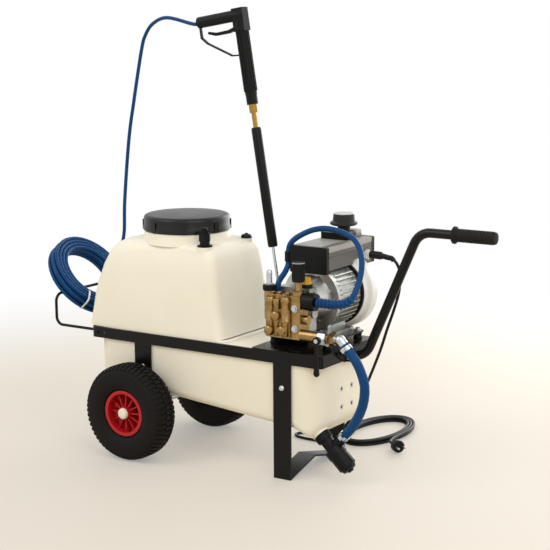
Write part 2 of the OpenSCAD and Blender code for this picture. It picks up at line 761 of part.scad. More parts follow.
// Crankcase: block with a foot, side cover and filler boss
module crankcase() color(alloy) centred() {
  z0 = pan_top;
  difference() {
    union() {
      translate([head_x0 + 6, -66, head_z0 + 12]) cube([head_w - 6, 32, head_h]);
      translate([head_x0 + 14, -62, z0]) cube([head_w - 22, 28, head_z0 + 14 - z0]);
      translate([motor_x, -34 - 10, motor_z]) rod_y(96, 10);
      translate([head_x1 - 1, -50, head_z0 + 60]) rod_x(28, 8);
      translate([oil_x, oil_y, head_z1 + 11]) cylinder(d = 26, h = oil_seat - 11);
    }
    translate([motor_x, -50, motor_z]) rod_y(44, 17);
    translate([oil_x, oil_y, head_z1 + 6]) cylinder(d = 14.4, h = oil_seat);
  }
}
oil_x = head_x1 - 20;
oil_y = -50;
oil_seat = 22;

// Brass head: block, valve columns, regulator body and outlet column
module pump_head() color(brass) centred() difference() {
  union() {
    translate([head_x0, head_y0 + 6, head_z0]) cube([head_w, head_t - 6, head_h]);
    translate([head_x0 + 8, head_y0, head_z0 + 4]) cube([head_w - 36, 8, head_h - 40]);
    for (x = [head_x0 + 16, head_x0 + 36, head_x0 + 55])
      translate([x, head_y0 + 12, head_z0 + 2]) rod_z(18.4, head_h);
    translate([outlet_x, outlet_y, head_z0 + 44]) rod_z(26, head_h - 44 + outlet_seat);
    translate([reg_x, reg_y, head_z0 + 60]) rod_z(36, head_h - 50);
    translate([reg_x, reg_y, head_z1 + 8]) rod_z(18, 26);
    translate([reg_x, reg_y, union_z]) rod_x(30, head_x1 - reg_x + 6);
    translate([head_x1 - 8, reg_y, head_z0 + 50]) rod_x(24, 22);
    // barb of the bypass hose
    translate(bypass_end - [0, 0, 1]) rod_z(bypass_bore - 0.6, 14);
  }
  // bores of the outlet and the bypass port
  translate([outlet_x, outlet_y, head_z0 + 60]) rod_z(10, head_h);
  translate([reg_x + 4, reg_y, union_z]) rod_x(10, 40);
}

module valve_caps() color(brass) centred() {
  for (p = [[head_x0 + 36, 58], [head_x0 + 16, 19], [head_x0 + 55, 21]])
    translate([p.x, head_y0, head_z0 + p.y]) rotate([90, 0, 0])
      rotate_extrude() polygon([[0, 0], [13, 0], [13, 7], [11.5, 10], [7, 12], [3, 12.6], [0, 12.6]]);
}

module oil_cap() color("#d9b021") centred() translate([oil_x, oil_y, head_z1 + oil_seat]) {
  translate([0, 0, seat]) cylinder(d = 30, h = 7);
  translate([0, 0, 7]) cylinder(d = 24, h = 9);
  translate([0, 0, -13]) cylinder(d = 14, h = 14);
}

module regulator_knob() color(plastic_black) centred() translate([reg_x, reg_y, head_z1 + 34 + seat]) {
  difference() {
    union() {
      cylinder(d = reg_knob_d, h = 50);
      for (i = [0:1:17])
        rotate([0, 0, 20 * i]) translate([reg_knob_d / 2 - 1, -1, 4]) cube([2, 2, 40]);
    }
    translate([0, 0, -1]) cylinder(d = 18.1, h = 9);
  }
}

// Height of the outlet column's top above the head
outlet_seat = 14;

module outlet_nut() color(plastic_black) centred() translate([outlet_x, outlet_y, head_z1 + 6]) difference() {
  union() {
    cylinder(d = 32, h = 15);
    for (i = [0:1:11]) rotate([0, 0, 30 * i]) translate([15, -1.5, 2]) cube([2, 3, 11]);
  }
  translate([0, 0, -8]) cylinder(d = 26, h = 8 + outlet_seat - 6);
  translate([0, 0, -1]) cylinder(d = plug_d + 2, h = 20);
}

// Steel quick plug of the pressure outlet
module outlet_plug() color(zinc) centred() translate([outlet_x, outlet_y, head_z1 + outlet_seat + 4]) {
  difference() {
    union() {
      translate([0, 0, -4]) cylinder(d = plug_d + 1.6, h = 12);
      translate([0, 0, 3]) cylinder(d = plug_d + 5, h = 5, $fn = 6);
      translate([0, 0, 8]) cylinder(d = plug_d, h = 26);
      translate([0, 0, 34]) cylinder(d1 = plug_d, d2 = plug_d - 4, h = 6);
    }
    translate([0, 0, -5]) cylinder(d = 7, h = 46);
  }
}

// ---- suction line ----

module suction_line() color(brass) centred() translate([head_x1, suction_y, suction_z]) {
  rod_x(30, valve_x - 11 - head_x1);
  translate([valve_x + 11 - head_x1, 0, 0]) {
    rod_x(22, 6);
    translate([5, 0, 0]) hex_x(32, elbow_x - 14 - valve_x - 16);
  }
}

module ball_valve() color(zinc) centred() translate([valve_x - 11, suction_y, suction_z]) {
  rotate([0, 90, 0]) cylinder(d = 42, h = 22, $fn = 8);
  translate([11, -42, 0]) rod_y(11, 26);
}

// Lever on the valve's stem: hangs when the valve is open
module valve_lever() color(plastic_black) centred()
  translate([valve_x, suction_y - 40, suction_z]) difference() {
    union() {
      rod_y(20, 8);
      profile_xz(0, 4) {
        polygon([[-5, 0], [5, 0], [5, -60], [8, 10 - lever_l], [-8, 10 - lever_l], [-5, -60]]);
        translate([0, 12 - lever_l]) circle(8);
      }
    }
    translate([0, -1, 0]) rod_y(11.1, 12);
  }

// Steel elbow that turns the line down to the hose
module suction_elbow() color(zinc) centred() translate(elbow_c) {
  translate([-14, 0, 0]) rod_x(24, 14);
  sphere(d = 28);
  rotate([0, 135, 0]) {
    cylinder(d = 26, h = 16);
    cylinder(d = suction_bore - 0.6, h = 38);
  }
}

module at_filter() translate([filter_x, filter_y, filter_z]) rotate([0, 90 + filter_tilt, 0]) children();

// Filter: union nut on the sump, body with a side branch, head of the bowl
module filter_body() color(plastic_black) centred() at_filter() difference() {
  union() {
    cylinder(d = 42, h = 20);
    for (i = [0:1:11]) rotate([0, 0, 30 * i]) translate([20, -2, 2]) cube([2.5, 4, 16]);
    cylinder(d = 34, h = bowl_s0 - 6);
    translate([0, 0, bowl_s0 - 14]) cylinder(d = bowl_d + 2, h = 14);
    translate([0, 0, branch_s]) rotate([0, -90, 0]) {
      cylinder(d = 28, h = branch_l - 6);
      cylinder(d = suction_bore - 0.6, h = branch_l + 18);
    }
  }
  translate([0, 0, -1]) cylinder(d = 18, h = bowl_s0 - 8);
  translate([0, 0, bowl_s0 - 10]) cylinder(d = bowl_d - 8, h = 12);
}
bowl_s0 = 64;
branch_l = 44;

module filter_bowl() color(plastic_black) centred() at_filter() difference() {
  union() {
    translate([0, 0, bowl_s0 + seat]) rotate_extrude() polygon([
      [0, 0], [bowl_d / 2 + 1, 0], [bowl_d / 2 + 1, 6], [bowl_d / 2 - 1, 8], [bowl_d / 2 - 3, 44],
      [bowl_d / 2 - 7, 52], [8, 55], [8, 58], [0, 58]
    ]);
    for (i = [0:1:9]) rotate([0, 0, 36 * i]) translate([bowl_d / 2 - 4, -1.5, bowl_s0 + 8]) cube([3.4, 3, 36]);
  }
  translate([0, 0, bowl_s0 - 1]) cylinder(d = bowl_d - 12, h = 48);
}

module filter_screen() color("#c9ccd0") centred() at_filter() translate([0, 0, bowl_s0 - 10]) difference() {
  cylinder(d = 28, h = 52);
  translate([0, 0, -1]) cylinder(d = 24, h = 50);
  for (i = [0:1:5])
    for (k = [0:1:2])
      rotate([0, 0, 60 * i]) translate([0, -5, 5 + 14 * k]) cube([20, 10, 10]);
}

// ---- hoses that the cart holds all the way ----

// Points of a smooth line through p, with m steps to a span
function smooth(p, m) = concat(
  [for (i = [0:1:len(p) - 2]) for (k = [0:1:m - 1])
    let (t = k / m)
    let (a = p[max(i - 1, 0)])
    let (b = p[i])
    let (c = p[i + 1])
    let (d = p[min(i + 2, len(p) - 1)])
    (2 * b + t * (c - a) + t * t * (2 * a - 5 * b + 4 * c - d) + t * t * t * (3 * b - 3 * c + d - a)) / 2],
  [p[len(p) - 1]]
);

function heading(p, i) = unit(p[min(i + 1, len(p) - 1)] - p[max(i - 1, 0)]);
function carried(u, t) = unit(u - (u * t) * t);

// Side vectors carried along a line without twist
function sides_along(p, u0) = [
  for (i = 0, u = carried(u0, heading(p, 0)); i < len(p); i = i + 1, u = i < len(p) ? carried(u, heading(p, i)) : u) u
];

// Rings of n points along p, with radius r[i] at p[i]
function rings_along(p, r, n) =
  let (u = sides_along(p, [0.11, 0.97, 0.21]))
  [for (i = [0:1:len(p) - 1])
    let (v = cross(heading(p, i), u[i]))
    [for (k = [0:1:n - 1]) p[i] + r[i] * (cos(360 * k / n) * u[i] + sin(360 * k / n) * v)]];

// Round cord along the points p with n sides
module tube(p, d, n) {
  rings = rings_along(p, [for (q = p) d / 2], n);
  polyhedron([for (r = rings) each r], skin_faces(len(rings), n));
}

// Hose wall: outside along p with radii r, bore along q of diameter d
module hose(p, r, q, d, n) {
  bore = rings_along(q, [for (i = q) d / 2 / cos(180 / n)], n);
  rings = concat(rings_along(p, r, n), [for (i = [len(q) - 1:-1:0]) bore[i]]);
  polyhedron([for (i = rings) each i], wall_faces(len(rings), n));
}

function filter_point(s, t) = [
  filter_x + s * cos(filter_tilt) + t * sin(filter_tilt), filter_y,
  filter_z - s * sin(filter_tilt) + t * cos(filter_tilt)
];

elbow_c = [elbow_x, suction_y, suction_z];
elbow_dir = [sqrt(0.5), 0, -sqrt(0.5)];
suction_route = concat(
  [elbow_c + 17 * elbow_dir],
  smooth([
    elbow_c + 42 * elbow_dir, [654, -101, 318], [669, -96, 268], [660, -90, 214], [634, -84, 164],
    filter_point(branch_s, branch_l + 24)
  ], 3),
  [filter_point(branch_s, branch_l - 6 + seat)]
);

module suction_hose() color(hose_blue) centred()
  hose(suction_route, [for (q = suction_route) suction_d / 2], suction_route, suction_bore, 12);

module hose_clamp(t) {
  n = len(suction_route);
  d = t == 0 ? elbow_dir : unit(suction_route[n - 1] - suction_route[n - 2]);
  a = t == 0 ? suction_route[0] + 12 * d : suction_route[n - 1] - 12 * d;
  translate(a) rotate([0, atan2(d.x, d.z), 0]) difference() {
    union() {
      translate([0, 0, -6]) cylinder(d = suction_d + 3, h = 11);
      translate([-5, -suction_d / 2 - 9, -6]) cube([10, 9, 11]);
    }
    translate([0, 0, -7]) cylinder(d = suction_d + 0.6, h = 13);
  }
}

boot_x0 = head_x1 + 36;
boot_l = 94;
boot_ribs = 10;
boot_pitch = boot_l / boot_ribs;
bypass_end = [head_x0 + 14, -76, head_z1];
function boot_point(s) = [boot_x0 + s, reg_y + 9 * pow(s / boot_l, 3), union_z + 5 * pow(s / boot_l, 3)];

// Middle of the hose clip on the box's end cap
clip_c = [386, -3, 557];
bypass_run = concat(
  smooth([
    boot_point(boot_l + 3), [624, -66, 492], [623, -44, 520], [612, -18, 555], [590, 8, 588], [558, 28, 612],
    [520, 36, 626], [480, 34, 632], [444, 24, 627], [412, 10, 611], [393, 1, 597],
    [clip_c.x, clip_c.y, 577], [clip_c.x, clip_c.y, 538], [386, -18, 520], [390, -56, 502],
    bypass_end + [0, 0, 18]
  ], 2),
  [bypass_end + [0, 0, seat]]
);

// Blue return hose with its ribbed bend guard at the union
module bypass_hose() color(hose_blue) centred() {
  core = bypass_d / 2 + 2.5;
  // each rib rises from the core, stands 4 mm wide and falls back
  boot = [for (i = [0:1:boot_ribs - 1]) for (c = [[0, 0], [1, 1], [5, 1], [6, 0]])
    [i * boot_pitch + c[0], core + c[1] * (4.5 - 0.35 * i)]];
  hose(
    concat([for (b = boot) boot_point(b[0])], bypass_run),
    concat([for (b = boot) b[1]], [for (q = bypass_run) bypass_d / 2]),
    concat([for (s = [0:boot_l / 5:boot_l]) boot_point(s)], bypass_run),
    bypass_bore, 8
  );
}

module bypass_union() color(plastic_black) centred() translate([head_x1 + 3, reg_y, union_z]) difference() {
  l = boot_x0 - head_x1 - 3;
  union() {
    rod_x(43, l);
    for (i = [0:1:15]) rotate([22.5 * i, 0, 0]) translate([3, -2, 20]) cube([l - 8, 4, 2.6]);
  }
  translate([-1, 0, 0]) rod_x(30, 4);
  rod_x(bypass_bore, l + 1);
}

// ---- control box ----

module box_outline() {
  difference() {
    square([box_w, box_h]);
    // lid joint and two grooves along each side
    for (z = [box_h - 14, box_h - 26])
      for (x = [-1, box_w - 1]) translate([x, z]) square([2, 2]);
  }
}

module control_box() color(box_grey) centred() difference() {
  translate([box_x0, 0, box_z0]) profile_xz(box_y0 + cap_l, box_y1 - cap_l) box_outline();
  at_motor() translate([0, -20, 0]) rod_y(2 * saddle_r, cowl_y0 + 20);
  at_motor() translate([0, cowl_y0 - eps, 0]) rod_y(cowl_d + 6, cowl_y1 - cowl_y0 + 4);
}

module box_caps() color(plastic_black) centred() {
  for (y = [box_y0, box_y1 - cap_l])
    translate([box_x0 - 1, y, box_z0 - 1]) profile_xz(0, cap_l) round_rect(box_w + 2, box_h + 2, 4);
  // hose clip on the end cap's edge
  translate([clip_c.x, clip_c.y, clip_c.z - 13]) difference() {
    union() {
      cylinder(d = bypass_d + 5, h = 26);
      translate([0, -6, 0]) cube([13, 8, 26]);
    }
    translate([0, 0, -1]) cylinder(d = bypass_d + 2, h = 28);
  }
}

module switch_base() color(plastic_black) centred() {
  translate([knob_x - 60, knob_y - 22, box_z1]) round_block(86, 44, 18, 5);
  translate([knob_x, knob_y, box_z1]) cylinder(d = 34, h = 37);
}

module switch_knob() color(plastic_black) centred() translate([knob_x, knob_y, box_z1 + 37 + seat]) {
  rotate_extrude() polygon([
    [0, 0], [knob_d / 2 - 6, 0], [knob_d / 2, 3], [knob_d / 2, 8], [30, 12], [28, 30], [25, 33], [0, 33]
  ]);
  translate([-3, 14, 12]) cube([6, 20, 20]);
}

gland_end = [motor_x + 118, 198, gland_z - 5];
module cable_gland() color("#d8d8d4") centred() {
  g = [motor_x + box_w / 2, gland_y, gland_z];
  translate(g) hex_x(28, 8);
  translate(g + [8, 0, 0]) rod_x(22, 6);
  // tapered bend relief
  tube_taper([g + [13, 0, 0], g + [24, 1, 0], gland_end - [12, 1.4, -1.6], gland_end], 19, lead_d + 3);
}

// Tube that narrows from d0 to d1 along the points p
module tube_taper(p, d0, d1, n = 16) {
  u = sides_along(p, [0, 0, 1]);
  k = len(p) - 1;
  rings = [for (i = [0:1:k])
    let (v = cross(heading(p, i), u[i]))
    let (r = (d0 + (d1 - d0) * i / k) / 2)
    [for (j = [0:1:n - 1]) p[i] + r * (cos(360 * j / n) * u[i] + sin(360 * j / n) * v)]];
  polyhedron([for (r = rings) each r], skin_faces(k + 1, n));
}

// ---- handle ----

// Bent tube in the plane y = 0: level, slope, level
handle_route = concat(
  [[handle_x0, 0, handle_z0]],
  [for (i = [0:1:6]) let (a = handle_slope * i / 6)
    [lower_x - bend_t + bend_r * sin(a), 0, handle_z0 + bend_r - bend_r * cos(a)]],
  [for (i = [6:-1:0]) let (a = handle_slope * i / 6)
    [upper_x + bend_t - bend_r * sin(a), 0, handle_z - bend_r + bend_r * cos(a)]],
  [[grip_end_x - grip_t, 0, handle_z]]
);
module handle_tube() color(steel_black) centred()
  hose(handle_route, [for (q = handle_route) handle_d / 2], handle_route, handle_d - 2 * handle_wall, 24);

// Gusset plate welded to the end bar, with the socket and its clamping lug
module handle_clamp() color(plastic_black) centred() difference() {
  union() {
    profile_yz(frame_x1, frame_x1 + 4)
      polygon([[-62, frame_top], [-62, frame_top - 8], [-26, frame_low - 2], [26, frame_low - 2],
        [62, frame_top - 8], [62, frame_top]]);
    translate([frame_x1 + 3, 0, handle_z0]) rod_x(handle_d + 9, clamp_l);
    translate([frame_x1 + 3, -16.4, frame_low - 2]) cube([clamp_l, 10, handle_z0 - frame_low + 4]);
  }
  translate([handle_x0, 0, handle_z0]) rod_x(handle_d + 0.2, clamp_l + 10);
}

module handle_grip() color(rubber_black) centred() difference() {
  translate([grip_x0, 0, handle_z]) rotate([0, 90, 0]) rotate_extrude() polygon(concat(
    [[0, 0], [handle_d / 2 + grip_t + 5, 0], [handle_d / 2 + grip_t + 5, 4]],
    [for (i = [0:1:11]) each [
      [handle_d / 2 + grip_t, 8 + i * (grip_l - 18) / 12], [handle_d / 2 + grip_t, 12 + i * (grip_l - 18) / 12],
      [handle_d / 2 + grip_t - 1, 13 + i * (grip_l - 18) / 12]]],
    [[handle_d / 2 + grip_t, grip_l - 8], [handle_d / 2 + grip_t - 2, grip_l - 1], [handle_d / 2, grip_l]],
    [[0, grip_l]]
  ));
  translate([grip_x0 - 1, 0, handle_z]) rod_x(handle_d, grip_l - grip_t + 1);
}

// ---- hose cradle and lance ----

// Bent round bar: out of the frame, up, across and back
module hose_cradle() color(steel_black) centred() {
  r = 22;
  y = cradle_y;
  for (s = [-1, 1]) scale_y(s) {
    translate([rail_x + r, y, arm_z]) rod_x(cradle_d, frame_x0 - rail_x - r);
    translate([rail_x + r, y, arm_z + r]) rotate([90, 0, 0]) rotate([0, 0, 180])
      rotate_extrude(angle = 90) translate([r, 0]) circle(d = cradle_d);
    translate([rail_x, y, arm_z + r]) rod_z(cradle_d, rail_z - arm_z - 2 * r);
    translate([rail_x, y - r, rail_z - r]) rotate([90, 0, 90]) rotate_extrude(angle = 90)
      translate([r, 0]) circle(d = cradle_d);
    // tab welded to the frame's end bar
    translate([frame_x0 - 16, y - 7, arm_z - 10]) cube([16, 14, 20]);
  }
  translate([rail_x, r - y, rail_z]) rod_y(cradle_d, 2 * y - 2 * r);
}

module at_lance() translate([lance_x, lance_y, lance_foot_z]) rotate([0, -lance_lean, 0]) children();
lance_top = 592;
sleeve_z0 = 236;
wand_d = 8;
sleeve_z1 = lance_top - 42;

// Cup on the deck that takes the lance's nozzle
module lance_holder() color(plastic_black) centred() {
  difference() {
    union() {
      translate([lance_x - 16, lance_y - 16, deck_top]) round_block(32, 32, 4, 5);
      at_lance() translate([0, 0, -4]) cylinder(d = lance_d + 14, h = 40);
    }
    at_lance() cylinder(d = lance_d + 6.2, h = 60);
  }
}

module lance_tube() color(zinc) centred() at_lance() {
  cylinder(d = lance_d + 6, h = 26);
  translate([0, 0, 25]) cylinder(d1 = lance_d + 6, d2 = wand_d, h = 6);
  translate([0, 0, 30]) cylinder(d = wand_d, h = sleeve_z0 - 18);
  translate([0, 0, sleeve_z0 + 12]) cylinder(d = lance_d, h = lance_top - sleeve_z0 - 12);
  // coupling nut under the gun
  translate([0, 0, lance_top - 4]) cylinder(d = 24, h = 22, $fn = 6);
}

// Insulating sleeve and pistol gun: barrel grip, body, handle, trigger guard
module spray_gun() color(plastic_black) centred() at_lance() {
  difference() {
    translate([0, 0, sleeve_z0]) rotate_extrude() polygon([
      [0, 0], [11, 0], [sleeve_d / 2, 5], [sleeve_d / 2, sleeve_z1 - sleeve_z0 - 5],
      [11, sleeve_z1 - sleeve_z0], [0, sleeve_z1 - sleeve_z0]
    ]);
    translate([0, 0, sleeve_z0 - 1]) cylinder(d = lance_d, h = sleeve_z1 - sleeve_z0 + 2);
  }
  difference() {
    union() {
      // knurled nut, barrel grip with ribs
      translate([0, 0, lance_top + 18]) cylinder(d = 30, h = 26);
      translate([0, 0, lance_top + 43]) cylinder(d = 32, h = gun_axis - lance_top - 62);
      for (i = [0:1:11])
        rotate([0, 0, 30 * i]) translate([15, -2, lance_top + 52]) cube([2.6, 4, gun_axis - lance_top - 90]);
      // valve body and handle
      translate([-17, -14, gun_axis - 42]) cube([34, 28, 60]);
      translate([-gun_handle, 0, gun_axis]) rod_x(30, gun_handle + 16);
      // trigger guard
      profile_xz(-4, 4) strip(guard_line, 4);
    }
    // slot of the trigger
    translate([-30, -trigger_w / 2 - seat, gun_axis - 50]) cube([30, trigger_w + 2 * seat, 36]);
  }
  translate([trigger_x, -10, trigger_z]) rod_y(5, 20);
}
gun_handle = 132;
trigger_w = 10;
trigger_x = -9;
trigger_z = gun_axis - 28;
guard_line = [
  [-14, lance_top + 150], [-40, lance_top + 152], [-112, gun_axis - 56], [-128, gun_axis - 40],
  [-128, gun_axis - 8]
];

// Curved lever that closes up towards the handle
module gun_trigger() color("#3b3b3b") centred() at_lance() difference() {
  profile_xz(-trigger_w / 2, trigger_w / 2) {
    translate([trigger_x, trigger_z]) circle(7);
    polygon([
      [trigger_x, trigger_z - 7], [trigger_x, trigger_z + 3], [-40, gun_axis - 33], [-80, gun_axis - 34],
      [-104, gun_axis - 28], [-106, gun_axis - 34], [-82, gun_axis - 42], [-40, gun_axis - 42]
    ]);
  }
  translate([trigger_x, -20, trigger_z]) rod_y(5.1, 40);
}

// ---- free cords ----

// Point at angle a of a pile of turns: it spirals in and out at a steady rate
// and climbs one layer in the half turn round each reversal. In it, x is the
// distance drawn in from the outer turn and y the height of the layer.
function pile(a, turns, layers, pitch) =
  let (run = 360 * turns)
  let (k = min(floor(a / run), layers - 1))
  let (u = a - k * run)
  [
    pitch / 360 * (k % 2 == 0 ? u : run - u),
    layers < 2 ? 0 : pitch * sum([for (j = [1:1:layers - 1]) min(max((a - j * run) / 180 + 0.5, 0), 1)])
  ];
function sum(v) = [for (x = v) 1] * v;

// Least distance between points of a line that lie n or more steps apart
function least_gap(p, n) = min([for (i = [0:1:len(p) - 1 - n]) for (j = [i + n:1:len(p) - 1]) norm(p[i] - p[j])]);

loop_steps = 24;

// Hose coil hung over the cradle's rail, tilted towards the tank
coil_n = [sin(coil_tilt), 0, cos(coil_tilt)];
coil_e = [cos(coil_tilt), 0, -sin(coil_tilt)];
coil_r = 123;
coil_half = (coil_layers - 1) * coil_pitch / 2;
coil_c = [rail_x, 38, rail_z] + (coil_half + hose_d / 2 + cradle_d / 2 + seat) * coil_n - 25 * coil_e;
coil_total = 360 * coil_turns * coil_layers;
coil_line = [for (a = [0:360 / loop_steps:coil_total])
  let (q = pile(a, coil_turns, coil_layers, coil_pitch))
  let (t = coil_total - a)
  coil_c + (coil_r - q.x) * (cos(t) * coil_e + [0, sin(t), 0]) + (q.y - coil_half) * coil_n
];
coil_start = coil_line[0];
coil_end = coil_line[len(coil_line) - 1];

module hose_coil() color(hose_blue) centred() {
  echo(coil_least_gap = least_gap(coil_line, loop_steps / 2) - hose_d);
  tube(concat([coil_start + [0, 52, 0], coil_start + [0, 26, 0]], coil_line, [coil_end - [0, hose_d, 0]]), hose_d, 6);
}

gun_inlet = lance_point(-132, gun_axis);
function lance_point(x, z) = [
  lance_x + x * cos(lance_lean) - z * sin(lance_lean), lance_y,
  lance_foot_z + x * sin(lance_lean) + z * cos(lance_lean)
];

// Delivery hose from the coil up over the cart and down to the gun
hose_route = smooth([
  coil_end - [0, hose_d, 0], coil_end - [0, 2 * hose_d, 0], [-232, -6, 368], [-226, -12, 400], [-220, 6, 450],
  [-214, 36, 505], [-212, 60, 560], [-206, 60, 658], [-186, 60, 828], [-164, 60, 941],
  [-134, 60, 1077], [-114, 54, 1120], [-74, 38, 1152], [-10, 18, 1168],
  lance_point(-152, gun_axis), gun_inlet
], 3);

module delivery_hose() color(hose_blue) centred() tube(hose_route, hose_d, 8);

// Power lead from the gland down to the floor and round to the hank
lead_low = lead_d / 2 + seat;
lead_turns = 2.75;
hank_c = [447, 362, lead_low];
hank_a = 85;
hank_b = 150;
lead_pitch = lead_d + 0.8;
hank_total = 2 * 360 * lead_turns;
hank_line = [for (a = [0:360 / loop_steps:hank_total])
  let (q = pile(a, lead_turns, 2, lead_pitch))
  hank_c + [-(hank_a - q.x) * cos(a), (hank_b - q.x) * sin(a), q.y]
];
hank_end = hank_line[len(hank_line) - 1];
plug_c = [556, 250, 17.5];
plug_turn = -35;
plug_dir = [cos(plug_turn), sin(plug_turn), 0];
lead_dir = unit(gland_end - [motor_x + box_w / 2 + 24, gland_y + 1, gland_z]);

lead_route = smooth([
  gland_end, gland_end + 9 * lead_dir, [596, 200, 524], [604, 201, 496], [601, 201, 450], [586, 201, 400],
  [566, 200, 344], [549, 200, 294], [529, 200, 244], [508, 200, 195], [480, 200, 134], [446, 200, 72],
  [408, 200, 28], [366, 200, lead_low + 2], [320, 198, lead_low], [278, 204, lead_low], [262, 224, lead_low],
  [276, 246, lead_low], [312, 258, lead_low], [344, 282, lead_low], [361, 320, lead_low],
  [hank_c.x - hank_a, hank_c.y - lead_d, lead_low], [hank_c.x - hank_a, hank_c.y, lead_low]
], 2);

module power_lead() color(rubber_black) centred() tube(lead_route, lead_d, 8);

module lead_hank() color(rubber_black) centred() {
  echo(hank_least_gap = least_gap(hank_line, loop_steps / 2) - lead_d);
  tail = smooth([
    hank_end, hank_end + [0, -lead_d, 0], [533, 318, 15], [538, 286, 17], plug_c - 12 * plug_dir, plug_c
  ], 3);
  tube(concat(hank_line, [for (i = [1:1:len(tail) - 1]) tail[i]]), lead_d, 6);
}

// Two-pin plug on the floor
module mains_plug() color(plastic_black) centred() translate(plug_c) rotate([0, 0, plug_turn]) {
  rotate([0, 90, 0]) rotate_extrude() polygon([
    [0, 0.1], [6, 0.1], [8, 12], [13, 20], [17, 26], [17, 42], [15, 45], [0, 45]
  ]);
  for (y = [-9.5, 9.5]) translate([44, y, 0]) rod_x(4.8, 19);
}

belt_frame();
front_stand();
axle_legs();
axle();
axle_caps();
fasteners();
handle_tube();
handle_clamp();
handle_grip();
tyre_near();
tyre_far();
rim_near();
rim_far();
tank();
strainer_basket();
lid();
lid_seal();
tank_breather();
return_fitting();
deck_plate();
rubber_mounts();
pump_bracket();
motor_housing();
cowl_ring();
fan_cowl();
motor_shaft();
cooling_fan();
pump_flange();
crankcase();
pump_head();
valve_caps();
oil_cap();
regulator_knob();
outlet_nut();
outlet_plug();
suction_line();
ball_valve();
valve_lever();
suction_elbow();
suction_hose();
filter_body();
filter_bowl();
filter_screen();
bypass_union();
bypass_hose();
control_box();
box_caps();
switch_base();
switch_knob();
cable_gland();
hose_cradle();
lance_holder();
lance_tube();
spray_gun();
gun_trigger();
power_lead();
lead_hank();
mains_plug();
delivery_hose();
hose_coil();
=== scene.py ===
import math

import bmesh
import bpy
import numpy as np
from mathutils import Matrix, Vector


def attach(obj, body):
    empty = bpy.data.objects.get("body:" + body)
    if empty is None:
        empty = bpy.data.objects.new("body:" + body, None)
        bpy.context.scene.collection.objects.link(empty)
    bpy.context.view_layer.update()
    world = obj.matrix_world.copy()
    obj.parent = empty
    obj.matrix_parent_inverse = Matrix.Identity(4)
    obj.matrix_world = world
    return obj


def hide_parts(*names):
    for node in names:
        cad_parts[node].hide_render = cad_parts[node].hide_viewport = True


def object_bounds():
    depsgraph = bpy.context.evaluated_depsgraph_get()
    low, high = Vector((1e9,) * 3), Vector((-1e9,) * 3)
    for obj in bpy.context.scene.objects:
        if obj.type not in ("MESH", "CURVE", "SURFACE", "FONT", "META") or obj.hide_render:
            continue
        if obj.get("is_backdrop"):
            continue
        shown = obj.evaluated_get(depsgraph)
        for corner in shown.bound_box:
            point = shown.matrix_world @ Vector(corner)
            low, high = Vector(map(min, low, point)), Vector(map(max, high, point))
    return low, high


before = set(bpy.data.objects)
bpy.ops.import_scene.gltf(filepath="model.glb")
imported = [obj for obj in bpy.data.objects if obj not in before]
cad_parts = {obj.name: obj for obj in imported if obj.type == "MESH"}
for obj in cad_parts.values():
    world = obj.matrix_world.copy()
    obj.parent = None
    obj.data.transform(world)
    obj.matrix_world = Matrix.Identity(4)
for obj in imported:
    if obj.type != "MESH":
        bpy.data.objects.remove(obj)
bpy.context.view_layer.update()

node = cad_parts

# ---- Camera ----
# A long lens some four metres away, at chest height in front of the pump's
# side, tilted down by about ten degrees.
eye = Vector((2.22228, -3.32632, 1.22761))
sensor_mm, lens_mm = 36, 101.13
turn, dip, roll = (math.radians(a) for a in (33.48, 10.30, -0.45))
forward = Vector((-math.sin(turn) * math.cos(dip), math.cos(turn) * math.cos(dip),
                  -math.sin(dip)))
level = Vector((math.cos(turn), math.sin(turn), 0))
right = math.cos(roll) * level + math.sin(roll) * level.cross(forward)
camera = bpy.data.objects.new("camera", bpy.data.cameras.new("camera"))
bpy.context.collection.objects.link(camera)
camera.data.sensor_width = sensor_mm
camera.data.lens = lens_mm
camera.data.clip_end = 60
camera.matrix_world = Matrix.Translation(eye) @ Matrix(
    (right, right.cross(forward), -forward)).transposed().to_4x4()
bpy.context.scene.camera = camera


# ---- Delivery hose and its coil ----
# Ten millimetre blue PVC hose with a textile core. It leaves the gun's
# handle, hangs in an arc behind the tank and ends in sixteen turns that lie
# over the cradle's rail, with a brass coupling on its free end.
# Sizes and places are in millimetres from a point on the floor under the
# axle's middle; AXLE, in metres, moves them into the cart's frame.
axle_x = -319
AXLE = np.array([axle_x, 0, 0]) / 1000


def linear(code):
    """sRGB hex code to linear RGBA, by the standard curve."""
    c = np.array([int(code[i:i + 2], 16) for i in (1, 3, 5)]) / 255
    return (*np.where(c <= 0.04045, c / 12.92, ((c + 0.055) / 1.055) ** 2.4), 1.0)


def add(tree, kind, settings=(), links=()):
    """One shader node: each setting goes to the property or input of that name, each link to
    that input."""
    n = tree.nodes.new(kind)
    for key, value in dict(settings).items():
        if isinstance(key, str) and hasattr(n, key):
            setattr(n, key, value)
        else:
            n.inputs[key].default_value = value
    for key, value in dict(links).items():
        tree.links.new(value, n.inputs[key])
    return n


def finish_of(name, settings):
    """An empty material: its tree, its Principled shader and its object coordinates."""
    m = bpy.data.materials.new(name)
    m.use_nodes = True
    t = m.node_tree
    t.nodes.clear()
    shader = add(t, "ShaderNodeBsdfPrincipled", settings)
    add(t, "ShaderNodeOutputMaterial", {}, {"Surface": shader.outputs[0]})
    place = add(t, "ShaderNodeTexCoord").outputs["Object"]
    return m, t, shader, place


